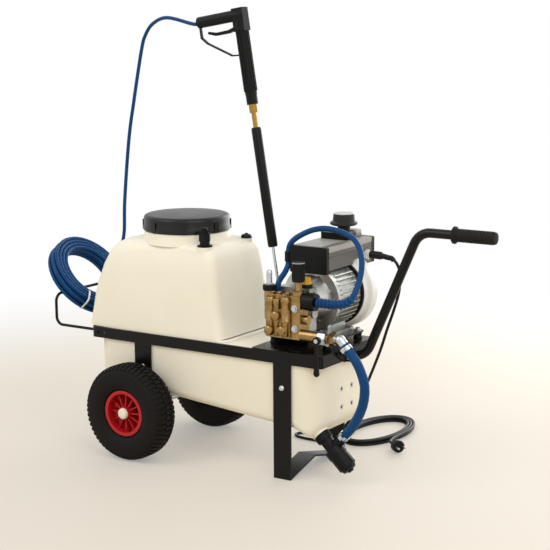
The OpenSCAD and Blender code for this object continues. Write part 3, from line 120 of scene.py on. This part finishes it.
def mottled(name, dark, light, grain_mm, patch_mm, rough, bump_mm, settings=()):
    """Two close colours mixed by a slow noise that also sets the roughness, with a fine grain
    for relief. A Mix node's inputs 6 and 7 are its colours, and its output 2 the mixed one."""
    m, t, shader, place = finish_of(name, settings)
    patch = add(t, "ShaderNodeTexNoise", {"Scale": 1000 / patch_mm, "Detail": 4.0},
                {"Vector": place})
    tone = add(t, "ShaderNodeMix", {"data_type": "RGBA", 6: linear(dark), 7: linear(light)},
               {0: patch.outputs[0]})
    t.links.new(tone.outputs[2], shader.inputs["Base Color"])
    sheen = add(t, "ShaderNodeMapRange", {"To Min": rough[0], "To Max": rough[1]},
                {"Value": patch.outputs[0]})
    t.links.new(sheen.outputs[0], shader.inputs["Roughness"])
    grain = add(t, "ShaderNodeTexNoise", {"Scale": 1000 / grain_mm, "Detail": 3.0},
                {"Vector": place})
    relief = add(t, "ShaderNodeBump", {"Strength": 0.6, "Distance": bump_mm / 1000},
                 {"Height": grain.outputs[0]})
    t.links.new(relief.outputs[0], shader.inputs["Normal"])
    return m


def smooth(points, steps):
    """Catmull-Rom line through points: each span is the cubic whose slope at a point is half the
    difference of its neighbours."""
    p = np.array(points, float)
    p = np.vstack([p[:1], p, p[-1:]])
    t = (np.arange(steps) / steps)[None, :, None]
    a, b, c, d = (p[i:len(p) - 3 + i, None, :] for i in range(4))
    line = (2 * b + t * (c - a) + t**2 * (2 * a - 5 * b + 4 * c - d)
            + t**3 * (3 * b - 3 * c + d - a)) / 2
    return np.vstack([line.reshape(-1, 3), p[-1:]])


def pile(a, turns, layers, pitch):
    """Wound turns at angle a: drawn in by one pitch a turn, back out in the next layer, and
    climbing one pitch over the half turn round each reversal."""
    run = 360 * turns
    k = np.minimum(a // run, layers - 1)
    u = a - k * run
    inward = pitch / 360 * np.where(k % 2 == 0, u, run - u)
    climb = sum(np.clip((a - j * run) / 180 + 0.5, 0, 1) for j in range(1, layers))
    return inward, pitch * climb


def round_cord(name, line, diameter, body, material):
    """A curve through the line's points with a round section."""
    c = bpy.data.curves.new(name, "CURVE")
    c.dimensions = "3D"
    s = c.splines.new("POLY")
    s.points.add(len(line) - 1)
    s.points.foreach_set("co", np.column_stack([line, np.ones(len(line))]).ravel())
    c.bevel_depth = diameter / 2
    c.bevel_resolution = 4
    c.use_fill_caps = True
    o = bpy.data.objects.new(name, c)
    bpy.context.collection.objects.link(o)
    o.data.materials.append(material)
    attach(o, body)
    return o


# dyed PVC: deep blue with a narrow soft highlight along each turn, a little
# darker where dust has dulled it
hose_pvc = mottled("blue_pvc_hose", "#08325e", "#0f4a80", 0.8, 90, (0.32, 0.46), 0.05,
                   {"Specular IOR Level": 0.14})

lean = math.radians(9.2)
lance_foot = (375, -2, 345)


def on_lance(x, z):
    """A point x across and z along the leaning lance, in its own upright plane."""
    return [lance_foot[0] + x * math.cos(lean) - z * math.sin(lean), lance_foot[1],
            lance_foot[2] + x * math.sin(lean) + z * math.cos(lean)]


hose_d, rail_r, rest_gap = 10, 4, 0.3
hose_pitch = 10.6
layers, per_layer, ring_steps = 4, 4, 48
coil_turns = layers * per_layer
coil_r = 123  # of the outer turns' middle line
rail_mid = np.array([-333, 38, 401])
slide = 25  # how far the coil's middle lies down the slope from the rail
coil_tilt = math.radians(48)
coil_up = np.array([math.sin(coil_tilt), 0, math.cos(coil_tilt)])
coil_out = np.array([math.cos(coil_tilt), 0, -math.sin(coil_tilt)])
across = np.array([0, 1, 0])
coil_half = (layers - 1) / 2 * hose_pitch
coil_mid = rail_mid + (coil_half + hose_d / 2 + rail_r + rest_gap) * coil_up - slide * coil_out
a = np.linspace(0, 360 * coil_turns, coil_turns * ring_steps + 1)
inward, climb = pile(a, per_layer, layers, hose_pitch)
t = np.radians(360 * coil_turns - a)
spread = np.cos(t)[:, None] * coil_out + np.sin(t)[:, None] * across
coil = coil_mid + (coil_r - inward)[:, None] * spread + (climb - coil_half)[:, None] * coil_up
coil_end = coil[-1]
free_end = coil[0] + [0, 52, 0]
rise = smooth([
    coil_end - [0, 10, 0], coil_end - [0, 20, 0], [-232, -6, 368], [-226, -12, 400], [-220, 6, 450],
    [-214, 36, 505], [-212, 60, 560], [-206, 60, 658], [-186, 60, 828], [-164, 60, 941],
    [-134, 60, 1077], [-114, 54, 1120], [-74, 38, 1152], [-10, 18, 1168],
    on_lance(-152, 842), on_lance(-132, 842)], 6)
hose_line = np.vstack([rise[::-1], coil[::-1], [coil[0] + [0, 26, 0], free_end]]) / 1000 + AXLE
hose = round_cord("delivery_hose_line", hose_line, hose_d / 1000, "cart", hose_pvc)
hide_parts("delivery_hose", "hose_coil")


def sheet_of(name, grid, around, along, material, body):
    """A mesh from a grid of points: a quad between each four neighbours, closed on itself where
    a direction wraps. Doubled points merge and faces turn outwards."""
    rows, cols = grid.shape[:2]
    i, j = np.meshgrid(np.arange(rows if along else rows - 1),
                       np.arange(cols if around else cols - 1), indexing="ij")
    k, l = (i + 1) % rows, (j + 1) % cols
    quads = np.stack([i * cols + j, i * cols + l, k * cols + l, k * cols + j], -1).reshape(-1, 4)
    mesh = bpy.data.meshes.new(name)
    mesh.from_pydata(grid.reshape(-1, 3).tolist(), [], quads.tolist())
    mesh.polygons.foreach_set("use_smooth", np.ones(len(quads), bool))
    o = bpy.data.objects.new(name, mesh)
    bpy.context.collection.objects.link(o)
    bm = bmesh.new()
    bm.from_mesh(mesh)
    bmesh.ops.remove_doubles(bm, verts=bm.verts, dist=1e-6)
    bmesh.ops.dissolve_degenerate(bm, edges=bm.edges, dist=1e-7)
    bmesh.ops.recalc_face_normals(bm, faces=bm.faces)
    bm.to_mesh(mesh)
    bm.free()
    o.data.materials.append(material)
    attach(o, body)
    return o


def turned(name, profile, foot, axis, material, body="cart", steps=40):
    """A profile of (radius, height) rows turned round an axis: at each angle a point stands its
    radius out from the axis and its height up from the foot."""
    w = np.array(axis, float)
    w /= np.linalg.norm(w)
    side = np.array([0, 0, 1.0]) if abs(w[2]) < 0.9 else np.array([1.0, 0, 0])
    e1 = np.cross(w, side)
    e1 /= np.linalg.norm(e1)
    e2 = np.cross(w, e1)
    r, h = np.array(profile, float).T
    a = np.linspace(0, 2 * np.pi, steps, endpoint=False)
    ring = np.cos(a)[:, None] * e1 + np.sin(a)[:, None] * e2
    grid = np.array(foot) + r[:, None, None] * ring + h[:, None, None] * w
    return sheet_of(name, grid / 1000 + AXLE, True, False, material, body)


# turned brass: pale gold, bright along the tool's path and duller in the grooves
coupling_brass = mottled("turned_brass", "#957444", "#c6a468", 0.6, 12, (0.2, 0.34), 0.03,
                         {"Metallic": 1.0})
coupling = turned("hose_coupling", [
    (0, -22), (5.4, -22), (7.2, -21), (7.6, -12), (7.0, -11), (7.6, -10), (7.6, -2), (7.0, -1),
    (9.6, 0), (10.2, 1), (10.2, 9), (9.6, 10), (7.2, 10.6), (7.2, 22), (6.4, 23), (4.4, 23),
    (4.4, 12), (0, 12)
], free_end, (0, 1, 0), coupling_brass)

# undyed nylon: clean white, with a faint gloss where the band is pulled round the turns
tie_nylon = mottled("white_nylon_tie", "#dcdcd8", "#ecece8", 0.6, 20, (0.35, 0.48), 0.03)
tie_at = math.radians(315)
tie_out = math.cos(tie_at) * coil_out + math.sin(tie_at) * across
tie_run = -math.sin(tie_at) * coil_out + math.cos(tie_at) * across
tie_in, tie_thick, tie_wide = 22.6, 1.0, 5.0


def rounded_square(steps, corner):
    """Points of a square with rounded corners: the cosine and the sine of the angle, each raised
    to the power corner with its sign kept."""
    b = np.linspace(0, 2 * np.pi, steps, endpoint=False)
    c, s = np.cos(b), np.sin(b)
    return np.stack([np.sign(c) * abs(c)**corner, np.sign(s) * abs(s)**corner], -1)


# the band's flat section, carried round the turns on a rounded square
square = rounded_square(64, 0.45)
section = np.array([(tie_in, -tie_wide / 2), (tie_in + tie_thick, -tie_wide / 2),
                    (tie_in + tie_thick, tie_wide / 2), (tie_in, tie_wide / 2)])
band = (coil_mid + (coil_r - coil_half) * tie_out
        + section[:, None, :1] * square[None, :, :1] * tie_out
        + section[:, None, :1] * square[None, :, 1:] * coil_up
        + section[:, None, 1:] * tie_run)
sheet_of("coil_tie", band / 1000 + AXLE, True, True, tie_nylon, "cart")


# ---- Power lead, its hank and the plug ----
# Eight millimetre black PVC lead: out of the gland at the control box, down
# behind the frame, a loop on the floor and an oval hank with the plug on it.
# black PVC sheath: deep black with a thin soft highlight along its top
lead_pvc = mottled("black_pvc_lead", "#0c0c0d", "#151516", 0.6, 60, (0.38, 0.5), 0.04,
                   {"Specular IOR Level": 0.22})
lead_d = 8
low = 4.3  # height of the lead's middle where it lies on the floor
hank_x, hank_y = 447, 362
half_x, half_y = 85, 150  # half the hank's width and length, to the outer turn's middle
hank_pitch, hank_turns, hank_layers = 8.8, 2.75, 2
box_x, box_half, box_top = 452, 55, 588  # the control box: its middle, half width and lid
gland_z = 545
gland_mouth = [box_x + box_half + 24, 191, gland_z]
gland_end = np.array([box_x + 118, 198, gland_z - 5])
lead_dir = gland_end - gland_mouth
lead_dir = lead_dir / np.linalg.norm(lead_dir)
ahead = gland_end + 9 * lead_dir
bend_at = [596, 200, 524]
drop = smooth([
    gland_end, ahead, bend_at, [604, 201, 496], [601, 201, 450], [586, 201, 400], [566, 200, 344],
    [549, 200, 294], [529, 200, 244], [508, 200, 195], [480, 200, 134], [446, 200, 72],
    [408, 200, 28], [366, 200, low + 2], [320, 198, low], [278, 204, low], [262, 224, low],
    [276, 246, low], [312, 258, low], [344, 282, low], [361, 320, low],
    [hank_x - half_x, hank_y - 8, low], [hank_x - half_x, hank_y, low]], 5)
a = np.linspace(0, 360 * hank_layers * hank_turns, int(hank_layers * hank_turns * ring_steps) + 1)
inward, climb = pile(a, hank_turns, hank_layers, hank_pitch)
hank = np.array([hank_x, hank_y, low]) + np.column_stack([
    -(half_x - inward) * np.cos(np.radians(a)), (half_y - inward) * np.sin(np.radians(a)), climb])
plug_mid = np.array([556, 250, 17.5])
plug_turn = math.radians(-35)
plug_dir = np.array([math.cos(plug_turn), math.sin(plug_turn), 0])
tail = smooth([hank[-1], hank[-1] - [0, 8, 0], [533, 318, 15], [538, 286, 17],
               plug_mid - 12 * plug_dir, plug_mid], 6)
lead_line = np.vstack([drop, hank[1:], tail[1:]]) / 1000 + AXLE
lead = round_cord("power_lead_line", lead_line, lead_d / 1000, "cart", lead_pvc)
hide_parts("power_lead", "lead_hank")


# ---- Rounded shading of the made pieces ----
# Turned, moulded and cast pieces shade as smooth surfaces, and edges sharper
# than 32 degrees stay crisp, as they do on the real parts.
def soften_group(name, angle):
    """Node group that merges doubles, smooths all faces and keeps edges past the angle sharp."""
    g = bpy.data.node_groups.new(name, "GeometryNodeTree")
    g.interface.new_socket("Geometry", in_out="INPUT", socket_type="NodeSocketGeometry")
    g.interface.new_socket("Geometry", in_out="OUTPUT", socket_type="NodeSocketGeometry")
    start = g.nodes.new("NodeGroupInput")
    merge = g.nodes.new("GeometryNodeMergeByDistance")
    merge.inputs["Distance"].default_value = 0.00002
    edge = g.nodes.new("GeometryNodeInputMeshEdgeAngle")
    sharp = g.nodes.new("FunctionNodeCompare")
    sharp.operation = "GREATER_THAN"
    sharp.inputs[1].default_value = math.radians(angle)
    flat = g.nodes.new("GeometryNodeSetShadeSmooth")
    flat.domain = "EDGE"
    flat.inputs["Shade Smooth"].default_value = False
    soft = g.nodes.new("GeometryNodeSetShadeSmooth")
    soft.domain = "FACE"
    soft.inputs["Shade Smooth"].default_value = True
    end = g.nodes.new("NodeGroupOutput")
    g.links.new(start.outputs[0], merge.inputs[0])
    g.links.new(merge.outputs[0], soft.inputs[0])
    g.links.new(soft.outputs[0], flat.inputs[0])
    g.links.new(edge.outputs[0], sharp.inputs[0])
    g.links.new(sharp.outputs[0], flat.inputs["Selection"])
    g.links.new(flat.outputs[0], end.inputs[0])
    return g


soften = soften_group("soften", 32)
for o in node.values():
    o.modifiers.new("soften", "NODES").node_group = soften


def dress(material, *names):
    """Gives the named nodes one material."""
    for n in names:
        node[n].data.materials.clear()
        node[n].data.materials.append(material)


# ---- Frame, stand, legs, deck and cradle ----
# Flat bar, strip and tube of mild steel, bent, welded and sprayed with black
# enamel. The deck's plate is bolted on over the tank's low end.
# satin enamel: near black, with a broad soft highlight that breaks up in a faint orange peel
frame_enamel = mottled("satin_black_enamel", "#0a0807", "#110e0c", 2.2, 120, (0.2, 0.34), 0.06,
                       {"Specular IOR Level": 0.2})
dress(frame_enamel, "belt_frame", "front_stand", "axle_legs", "deck_plate", "pump_bracket",
      "handle_tube", "handle_clamp", "hose_cradle")

# ---- Axle, bolts and steel fittings ----
# Drawn and turned steel with a barrel zinc plating: the axle, the bolts with
# their washers and the steel fittings of the water line.
# bright zinc: pale, clear reflections, slightly dulled in patches by handling
zinc_plate = mottled("bright_zinc_plate", "#b4b7ba", "#d6d8da", 0.5, 14, (0.18, 0.34), 0.02,
                     {"Metallic": 1.0})
dress(zinc_plate, "axle", "fasteners", "outlet_plug", "ball_valve", "suction_elbow")

# ---- Wheels ----
# Pneumatic rubber tyres with three rows of tread blocks, on moulded nylon
# rims with ribbed webs. Pressed-on caps hold them on the axle.
# carbon-black rubber: almost no gloss, with a dusty sheen where it turns away
tyre_rubber = mottled("tyre_rubber", "#0d0a09", "#171311", 0.9, 40, (0.62, 0.82), 0.12,
                      {"Specular IOR Level": 0.18})
dress(tyre_rubber, "tyre_near", "tyre_far")
# dyed nylon: strong even red with a soft gloss on the ribs
red_nylon = mottled("red_moulded_nylon", "#a5101a", "#c01a24", 0.7, 50, (0.26, 0.4), 0.04,
                    {"Specular IOR Level": 0.35})
dress(red_nylon, "rim_near", "rim_far")
# undyed nylon: warm cream, slightly waxy
cream_nylon = mottled("cream_moulded_nylon", "#e4dcc8", "#efe8d6", 0.7, 50, (0.3, 0.42), 0.04)
dress(cream_nylon, "axle_caps")

# ---- Tank, lid, fittings and grips ----
# A rotationally moulded tank with a moulded screw lid and strainer, a breather
# and a return fitting on its shoulder, and rubber where hands or water meet it.
# natural polyethylene: warm milky white that light enters a little, with a waxy skin
tank_poly = mottled("natural_polyethylene", "#ebe4d0", "#f4efdf", 1.6, 180, (0.40, 0.52), 0.10,
                    {"Subsurface Weight": 0.12, "Subsurface Radius": (0.02, 0.016, 0.01),
                     "Specular IOR Level": 0.35})
dress(tank_poly, "tank")
# moulded polypropylene: black, with a wide grey sheen where it is seen at a low angle
black_poly = mottled("black_moulded_plastic", "#0a0a09", "#121211", 0.7, 60, (0.32, 0.46), 0.06,
                     {"Specular IOR Level": 0.16})
dress(black_poly, "strainer_basket", "tank_breather", "return_fitting", "cowl_ring", "cooling_fan",
      "outlet_nut", "valve_lever", "filter_body", "filter_bowl", "bypass_union", "box_caps",
      "switch_base", "lance_holder", "spray_gun", "gun_trigger")
# the lid's skin is glossier: a broad grey sheen lies over its dome
lid_poly = mottled("black_glossy_lid", "#0b0a09", "#12110f", 0.7, 70, (0.3, 0.42), 0.05,
                   {"Specular IOR Level": 0.3})
dress(lid_poly, "lid")
# soft rubber: dull black with a fine pebble
black_rubber = mottled("black_rubber", "#100f0e", "#191817", 0.8, 40, (0.55, 0.72), 0.08,
                       {"Specular IOR Level": 0.2})
dress(black_rubber, "lid_seal", "rubber_mounts", "handle_grip")

# ---- Motor and pump ----
# A finned motor housing and the pump's crankcase of die-cast aluminium, a
# painted fan cowl, and the pump's head, caps and suction tube of brass.
# die-cast aluminium: bright and slightly grainy, dark between the fins
cast_alloy = mottled("cast_aluminium", "#9b9b96", "#cfcfca", 1.1, 26, (0.26, 0.42), 0.09,
                     {"Metallic": 0.9})
dress(cast_alloy, "motor_housing", "pump_flange", "crankcase")
# stoved enamel: very pale grey, smooth, with a soft gloss
grey_enamel = mottled("pale_grey_enamel", "#dededa", "#ebebe7", 1.4, 80, (0.3, 0.42), 0.05)
dress(grey_enamel, "fan_cowl")
# ground steel: cool grey, with tight highlights
ground_steel = mottled("ground_steel", "#9da0a3", "#b9bcbe", 0.4, 12, (0.2, 0.32), 0.02,
                       {"Metallic": 1.0})
dress(ground_steel, "motor_shaft", "filter_screen")
# cast brass: brownish gold, blotched by the sand mould and by handling
cast_brass = mottled("cast_brass", "#6b5230", "#bd9b66", 1.0, 13, (0.2, 0.38), 0.09,
                     {"Metallic": 1.0})
dress(cast_brass, "pump_head", "valve_caps", "suction_line")
# dyed polypropylene: strong yellow, even, with a soft gloss
yellow_plastic = mottled("yellow_plastic", "#cf9c14", "#dfae22", 0.7, 30, (0.3, 0.42), 0.04)
dress(yellow_plastic, "oil_cap")
dress(hose_pvc, "suction_hose")
# ring of the same rubber as the seals, round the oil filler's boss under the cap
boss_r, ring_z0, ring_z1 = 13.05, 489.5, 499.6
boss_ring = turned("filler_ring", [
    (boss_r, ring_z0), (15, ring_z0), (16, ring_z0 + 1.5), (16, 498), (15, ring_z1),
    (boss_r, ring_z1), (boss_r, ring_z0)
], (470, -50, 0), (0, 0, 1), black_rubber)


# ---- Lance ----
# Drawn steel tube, zinc plated, which stands in a holder on the deck and
# carries the gun. A brass coupling joins it to the gun above the black sleeve.
def banded(material, name, colours, axis, edges_mm, metal=False):
    """A copy of a finish that changes colour at each edge, measured along an axis of the cart;
    with metal set, it is a metal past the last edge."""
    m = material.copy()
    m.name = name
    t = m.node_tree
    shader = next(n for n in t.nodes if n.type == "BSDF_PRINCIPLED")
    place = next(n for n in t.nodes if n.type == "TEX_COORD").outputs["Object"]
    span = add(t, "ShaderNodeVectorMath", {"operation": "DOT_PRODUCT", 1: axis}, {0: place})
    settings, links = {"data_type": "RGBA", 6: linear(colours[0])}, {}
    for colour, edge in zip(colours[1:], edges_mm):
        past = add(t, "ShaderNodeMath", {"operation": "GREATER_THAN", 1: edge / 1000},
                   {0: span.outputs["Value"]})
        tone = add(t, "ShaderNodeMix", {**settings, 7: linear(colour)},
                   {**links, 0: past.outputs[0]})
        settings, links = {"data_type": "RGBA"}, {6: tone.outputs[2]}
    t.links.new(tone.outputs[2], shader.inputs["Base Color"])
    if metal:
        t.links.new(past.outputs[0], shader.inputs["Metallic"])
    return m


# bright zinc up to just inside the sleeve's upper end, then brass
up_lance = (-math.sin(lean), 0, math.cos(lean))
joint = on_lance(0, 545)
coupling_at = (joint[0] + axle_x) * up_lance[0] + joint[2] * up_lance[2]
dress(banded(zinc_plate, "zinc_tube_brass_coupling", ("#c4c6c8", "#a67f3f"), up_lance,
             (coupling_at,)), "lance_tube")

# ---- Pressure regulator's knob ----
# Moulded black knob with grip ribs, screwed down over the regulator's spring.
# A thin pale line is painted round its top edge as a highlight, and its top is a little greyer.
knob_top = 512.3 + 50  # its foot and its height
# painted highlight: a pale ring from 2.4 to 0.4 mm under the top stands in for light catching the
# rim
dress(banded(black_poly, "black_knob_painted_rim_highlight", ("#141413", "#b4b4ae", "#1c1c1b"), (0, 0, 1),
             (knob_top - 2.4, knob_top - 0.4)), "regulator_knob")

# ---- Control box, switch, gland and plug ----
# A long grey box with black end caps, screwed on over the motor; its lid is
# painted lighter than its sides as painted light from above. A gland with a
# white nut holds the lead, which ends in its plug.
# moulded ABS: mid grey sides; the lid and the top 14 mm of the sides are painted lighter, painted
# light standing in for light from above
grey_abs = mottled("grey_abs", "#56544f", "#63615b", 0.8, 70, (0.38, 0.5), 0.05,
                   {"Specular IOR Level": 0.35})
lit_band_z = box_top - 14
# painted light: the top 14 mm of the box is painted lighter to stand in for the light falling on it
# from above
dress(banded(grey_abs, "grey_box_painted_lit_lid", ("#5b5954", "#a09e97"), (0, 0, 1), (lit_band_z,)),
      "control_box")
# white nylon nut, then the black PVC relief
nut_end = box_x + box_half + 14 + axle_x
dress(banded(black_poly, "white_nut_black_relief", ("#dcdcd6", "#121213"), (1, 0, 0), (nut_end,)),
      "cable_gland")
# dark grey knob, paler on the top 2 mm; it stands on a base 37 mm high
switch_top = box_top + 37 + 31
dress(banded(black_poly, "grey_knob_pale_top", ("#2c2c2a", "#c2c2bd"), (0, 0, 1), (switch_top,)),
      "switch_knob")
# black plug, its pins nickel plated past the face they stand on
pins = tuple(plug_dir)
plug_face = (plug_mid[0] + axle_x) * pins[0] + plug_mid[1] * pins[1] + 45.2
dress(banded(black_poly, "black_plug_nickel_pins", ("#131314", "#c8c8c4"), pins, (plug_face,),
             True), "mains_plug")


# ---- Return hose and its ribbed bend guard ----
# Blue PVC hose from the regulator's union, through the clip on the control box
# and down to the barb on the head. A moulded guard with ten ribs covers its start.
def even(points, step):
    """The smooth line through points, at even steps of length, and the length at each."""
    line = smooth(points, 16)
    s = np.concatenate([[0], np.cumsum(np.linalg.norm(np.diff(line, axis=0), axis=1))])
    at = np.arange(0, s[-1], step)
    return np.column_stack([np.interp(at, s, line[:, k]) for k in range(3)]), at


def tube_of(name, line, radius, material, body):
    """A closed tube: at each point of the line a ring of the radius there, square to the line,
    whose first point lies in the plane that fits the line best."""
    t = np.gradient(line, axis=0)
    t /= np.linalg.norm(t, axis=1, keepdims=True)
    flat = np.linalg.svd(line - line.mean(0))[2][2]
    side = np.cross(t, flat)
    side /= np.linalg.norm(side, axis=1, keepdims=True)
    lift = np.cross(side, t)
    sides = 24
    a = np.linspace(0, 2 * np.pi, sides, endpoint=False)[None, :, None]
    ring = np.cos(a) * side[:, None] + np.sin(a) * lift[:, None]
    wall = line[:, None] + radius[:, None, None] * ring
    ends = [np.repeat(line[k][None, None], sides, axis=1) for k in (0, -1)]
    grid = np.concatenate([ends[0], wall, ends[1]])
    return sheet_of(name, grid / 1000 + AXLE, True, False, material, body)


guard_l, rib_count = 104, 10
valley_r, rib_h, rib_loss = 7.7, 5.2, 1.1  # the ribs get lower along the guard
return_r = 7.5
run, s_run = even([
    (526, -92, 464), (550, -91.6, 463.6), (576, -90.5, 464), (600, -88, 467), (617, -83, 475),
    (626, -76, 490), (629, -62, 512), (626, -41, 540), (614, -16, 567), (593, 8, 593),
    (562, 28, 614), (522, 36, 626), (480, 34, 632), (444, 24, 627), (412, 10, 611),
    (394, 1, 595), (387, -2.6, 577), (386, -3, 557), (386, -4, 538), (386, -18, 520),
    (390, -52, 502), (399, -74, 492), (400, -76, 479)], 1.3)
# each rib is half a sine wave, made fuller by a power below one
rib = np.abs(np.sin(np.pi * rib_count * s_run / guard_l))**0.7
guard = valley_r + (rib_h - rib_loss * s_run / guard_l) * rib
return_hose = tube_of("return_hose", run, np.where(s_run < guard_l, guard, return_r), hose_pvc,
                      "cart")
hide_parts("bypass_hose")

# ---- Bend relief of the lead ----
# Two-step moulded PVC sleeve that holds the lead straight out of the gland and
# lets it bend down over its length. Fine grooves ring its thinner step.
sleeve, s_sleeve = even([(522, 190.3, 545), (540, 192.8, 544.8), (556, 195.5, 543), gland_end,
                         ahead, ahead + 0.42 * (np.array(bend_at) - ahead)], 1.0)
step_at, thick_r, thin_r, taper = 31, 10.6, 7.6, 0.02
groove, groove_rate = 0.5, 1.6  # depth, and radians a millimetre: one groove every 3.9 mm
sleeve_r = np.where(s_sleeve < step_at, thick_r, thin_r - taper * (s_sleeve - step_at))
sleeve_r = np.where((s_sleeve > step_at) & (np.sin(s_sleeve * groove_rate) > 0.75),
                    sleeve_r - groove, sleeve_r)
tube_of("lead_relief", sleeve, sleeve_r, lead_pvc, "cart")

# ---- Box lid ribs and terminal cover ----
# Two ridges run along the lid of the box, moulded with it, and a small moulded
# cover stands behind the switch.
ridge_half, ridge_h, sunk = 2.2, 1.6, 0.05
arc = np.linspace(0, np.pi, 9)
ends_y = np.array([-6, -5.9, 225.9, 226])
swell = np.array([0, 1, 1, 0])[:, None]  # the half round section shrinks to a point at each end
for k, x in enumerate((496, 486)):
    ridge = np.stack([x + swell * (ridge_half * np.cos(arc)),
                      np.repeat(ends_y[:, None], len(arc), 1),
                      box_top + swell * (ridge_h * np.sin(arc) - sunk)], -1)
    sheet_of(f"box_lid_ridge_{k}", ridge / 1000 + AXLE, True, False, grey_abs, "cart")
# the same ABS, a little paler: dry and even, with a weak soft gloss
pale_abs = mottled("pale_grey_abs", "#9a9892", "#aeaca6", 0.8, 50, (0.38, 0.5), 0.05,
                   {"Specular IOR Level": 0.35})
# a rounded rectangle carried up a profile of (share of the half width, height)
cover_mid, cover_half = np.array([460, 197]), np.array([22, 18])
plan = rounded_square(48, 0.4)
profile = np.array([(0, box_top), (1, box_top), (1, 603), (0.97, 606.5), (0.9, 608.5),
                    (0.8, 609), (0, 609)])
cover = np.concatenate([cover_mid + profile[:, None, :1] * cover_half * plan[None],
                        np.repeat(profile[:, None, 1:], len(plan), axis=1)], -1)
sheet_of("terminal_cover", cover / 1000 + AXLE, True, False, pale_abs, "cart")

# ---- Cast columns of the pump's head ----
# Brass casting: three valve columns stand proud of its front face, each with
# two turned collars, and a six-sided plug is screwed in above each.
z0, column_y = 372, -114  # the columns' foot and middle line
plug_y, plug_r, plug_z0, plug_z1 = -103, 7.4, 476, 484.5
# each column's place along the cart, its radius and its top
for k, (x, r, z1) in enumerate([(402, 11, 472), (422, 9.6, 468), (448, 12, 474)]):
    column = turned(f"head_column_{k}", [
        (0, z0), (r - 2, z0), (r, z0 + 2), (r, z0 + 34), (r + 1.4, z0 + 36), (r + 1.4, z0 + 42),
        (r, z0 + 44), (r, z1 - 16), (r + 1.2, z1 - 14), (r + 1.2, z1 - 6), (r, z1 - 4),
        (r, z1 - 2), (r - 2, z1), (0, z1)
    ], (x, column_y, 0), (0, 0, 1), cast_brass)
    plug = turned(f"head_plug_{k}", [(0, plug_z0), (plug_r, plug_z0), (plug_r, plug_z1 - 1.5),
                                     (plug_r - 1, plug_z1), (0, plug_z1)],
                  (x, plug_y, 0), (0, 0, 1), cast_brass, steps=6)

# ---- Floor, backdrop and light ----
# A flat painted floor under four soft lamps, in a plain pale room. Near the
# cart it takes shadows, and from 2.6 m out it runs into the white of the room.
reach_m = 30
corners = [(-reach_m, -reach_m, 0), (reach_m, -reach_m, 0), (reach_m, reach_m, 0),
           (-reach_m, reach_m, 0)]
floor_mesh = bpy.data.meshes.new("floor")
floor_mesh.from_pydata(corners, [], [(0, 1, 2, 3)])
floor = bpy.data.objects.new("floor", floor_mesh)
bpy.context.collection.objects.link(floor)


def seen(t):
    """1 where a ray comes from the camera or from a mirror or glass, else 0."""
    path = add(t, "ShaderNodeLightPath")
    first = add(t, "ShaderNodeMath", {"operation": "MAXIMUM"},
                {0: path.outputs["Is Camera Ray"], 1: path.outputs["Is Glossy Ray"]})
    return add(t, "ShaderNodeMath", {"operation": "MAXIMUM"},
               {0: first.outputs[0], 1: path.outputs["Is Transmission Ray"]}).outputs[0]


# matt floor paint: off-white and even, and brighter the further from the cart
m, t, shader, place = finish_of("white_floor_paint",
                                {"Base Color": linear("#d2c6b1"), "Roughness": 0.6})
distance = add(t, "ShaderNodeVectorMath", {"operation": "LENGTH"}, {0: place})
fade = add(t, "ShaderNodeMapRange",
           {"From Min": 1.0, "From Max": 2.6, "To Min": 0.28, "interpolation_type": "SMOOTHSTEP"},
           {"Value": distance.outputs["Value"]})
share = add(t, "ShaderNodeMath", {"operation": "MULTIPLY"}, {0: fade.outputs[0], 1: seen(t)})
glow = add(t, "ShaderNodeEmission", {"Color": linear("#ffffff"), "Strength": 1.0})
both = add(t, "ShaderNodeMixShader", {},
           {0: share.outputs[0], 1: shader.outputs[0], 2: glow.outputs[0]})
surface = next(n for n in t.nodes if n.type == "OUTPUT_MATERIAL").inputs["Surface"]
t.links.new(both.outputs[0], surface)
floor.data.materials.append(m)
floor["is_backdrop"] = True


def lamp(name, where, aim, size, watts):
    """A square area light at a place, turned to face its aim."""
    d = bpy.data.lights.new(name, "AREA")
    d.shape = "SQUARE"
    d.size = size
    d.energy = watts
    o = bpy.data.objects.new(name, d)
    bpy.context.collection.objects.link(o)
    o.location = where
    o.rotation_euler = (Vector(aim) - Vector(where)).to_track_quat("-Z", "Y").to_euler()


lamp("key", (-1.6, -2.6, 3.2), (0, 0, 0.4), 2.2, 45)
lamp("fill", (2.6, -1.6, 2.9), (0, 0, 0.5), 2.4, 40)
lamp("side", (2.8, 1.3, 1.1), (0.2, 0, 0.5), 1.6, 10)
lamp("back", (0.1, 2.9, 0.95), (0, 0, 0.05), 2.4, 54)
world = bpy.data.worlds.new("room")
bpy.context.scene.world = world
world.use_nodes = True
room = world.node_tree
room.nodes.clear()
soft = add(room, "ShaderNodeBackground", {"Color": (1, 0.985, 0.955, 1), "Strength": 0.74})
white = add(room, "ShaderNodeBackground", {"Color": linear("#ffffff"), "Strength": 1.0})
air = add(room, "ShaderNodeMixShader", {},
          {0: seen(room), 1: soft.outputs[0], 2: white.outputs[0]})
add(room, "ShaderNodeOutputWorld", {}, {"Surface": air.outputs[0]})
bpy.context.scene.view_settings.view_transform = "Standard"

low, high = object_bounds()
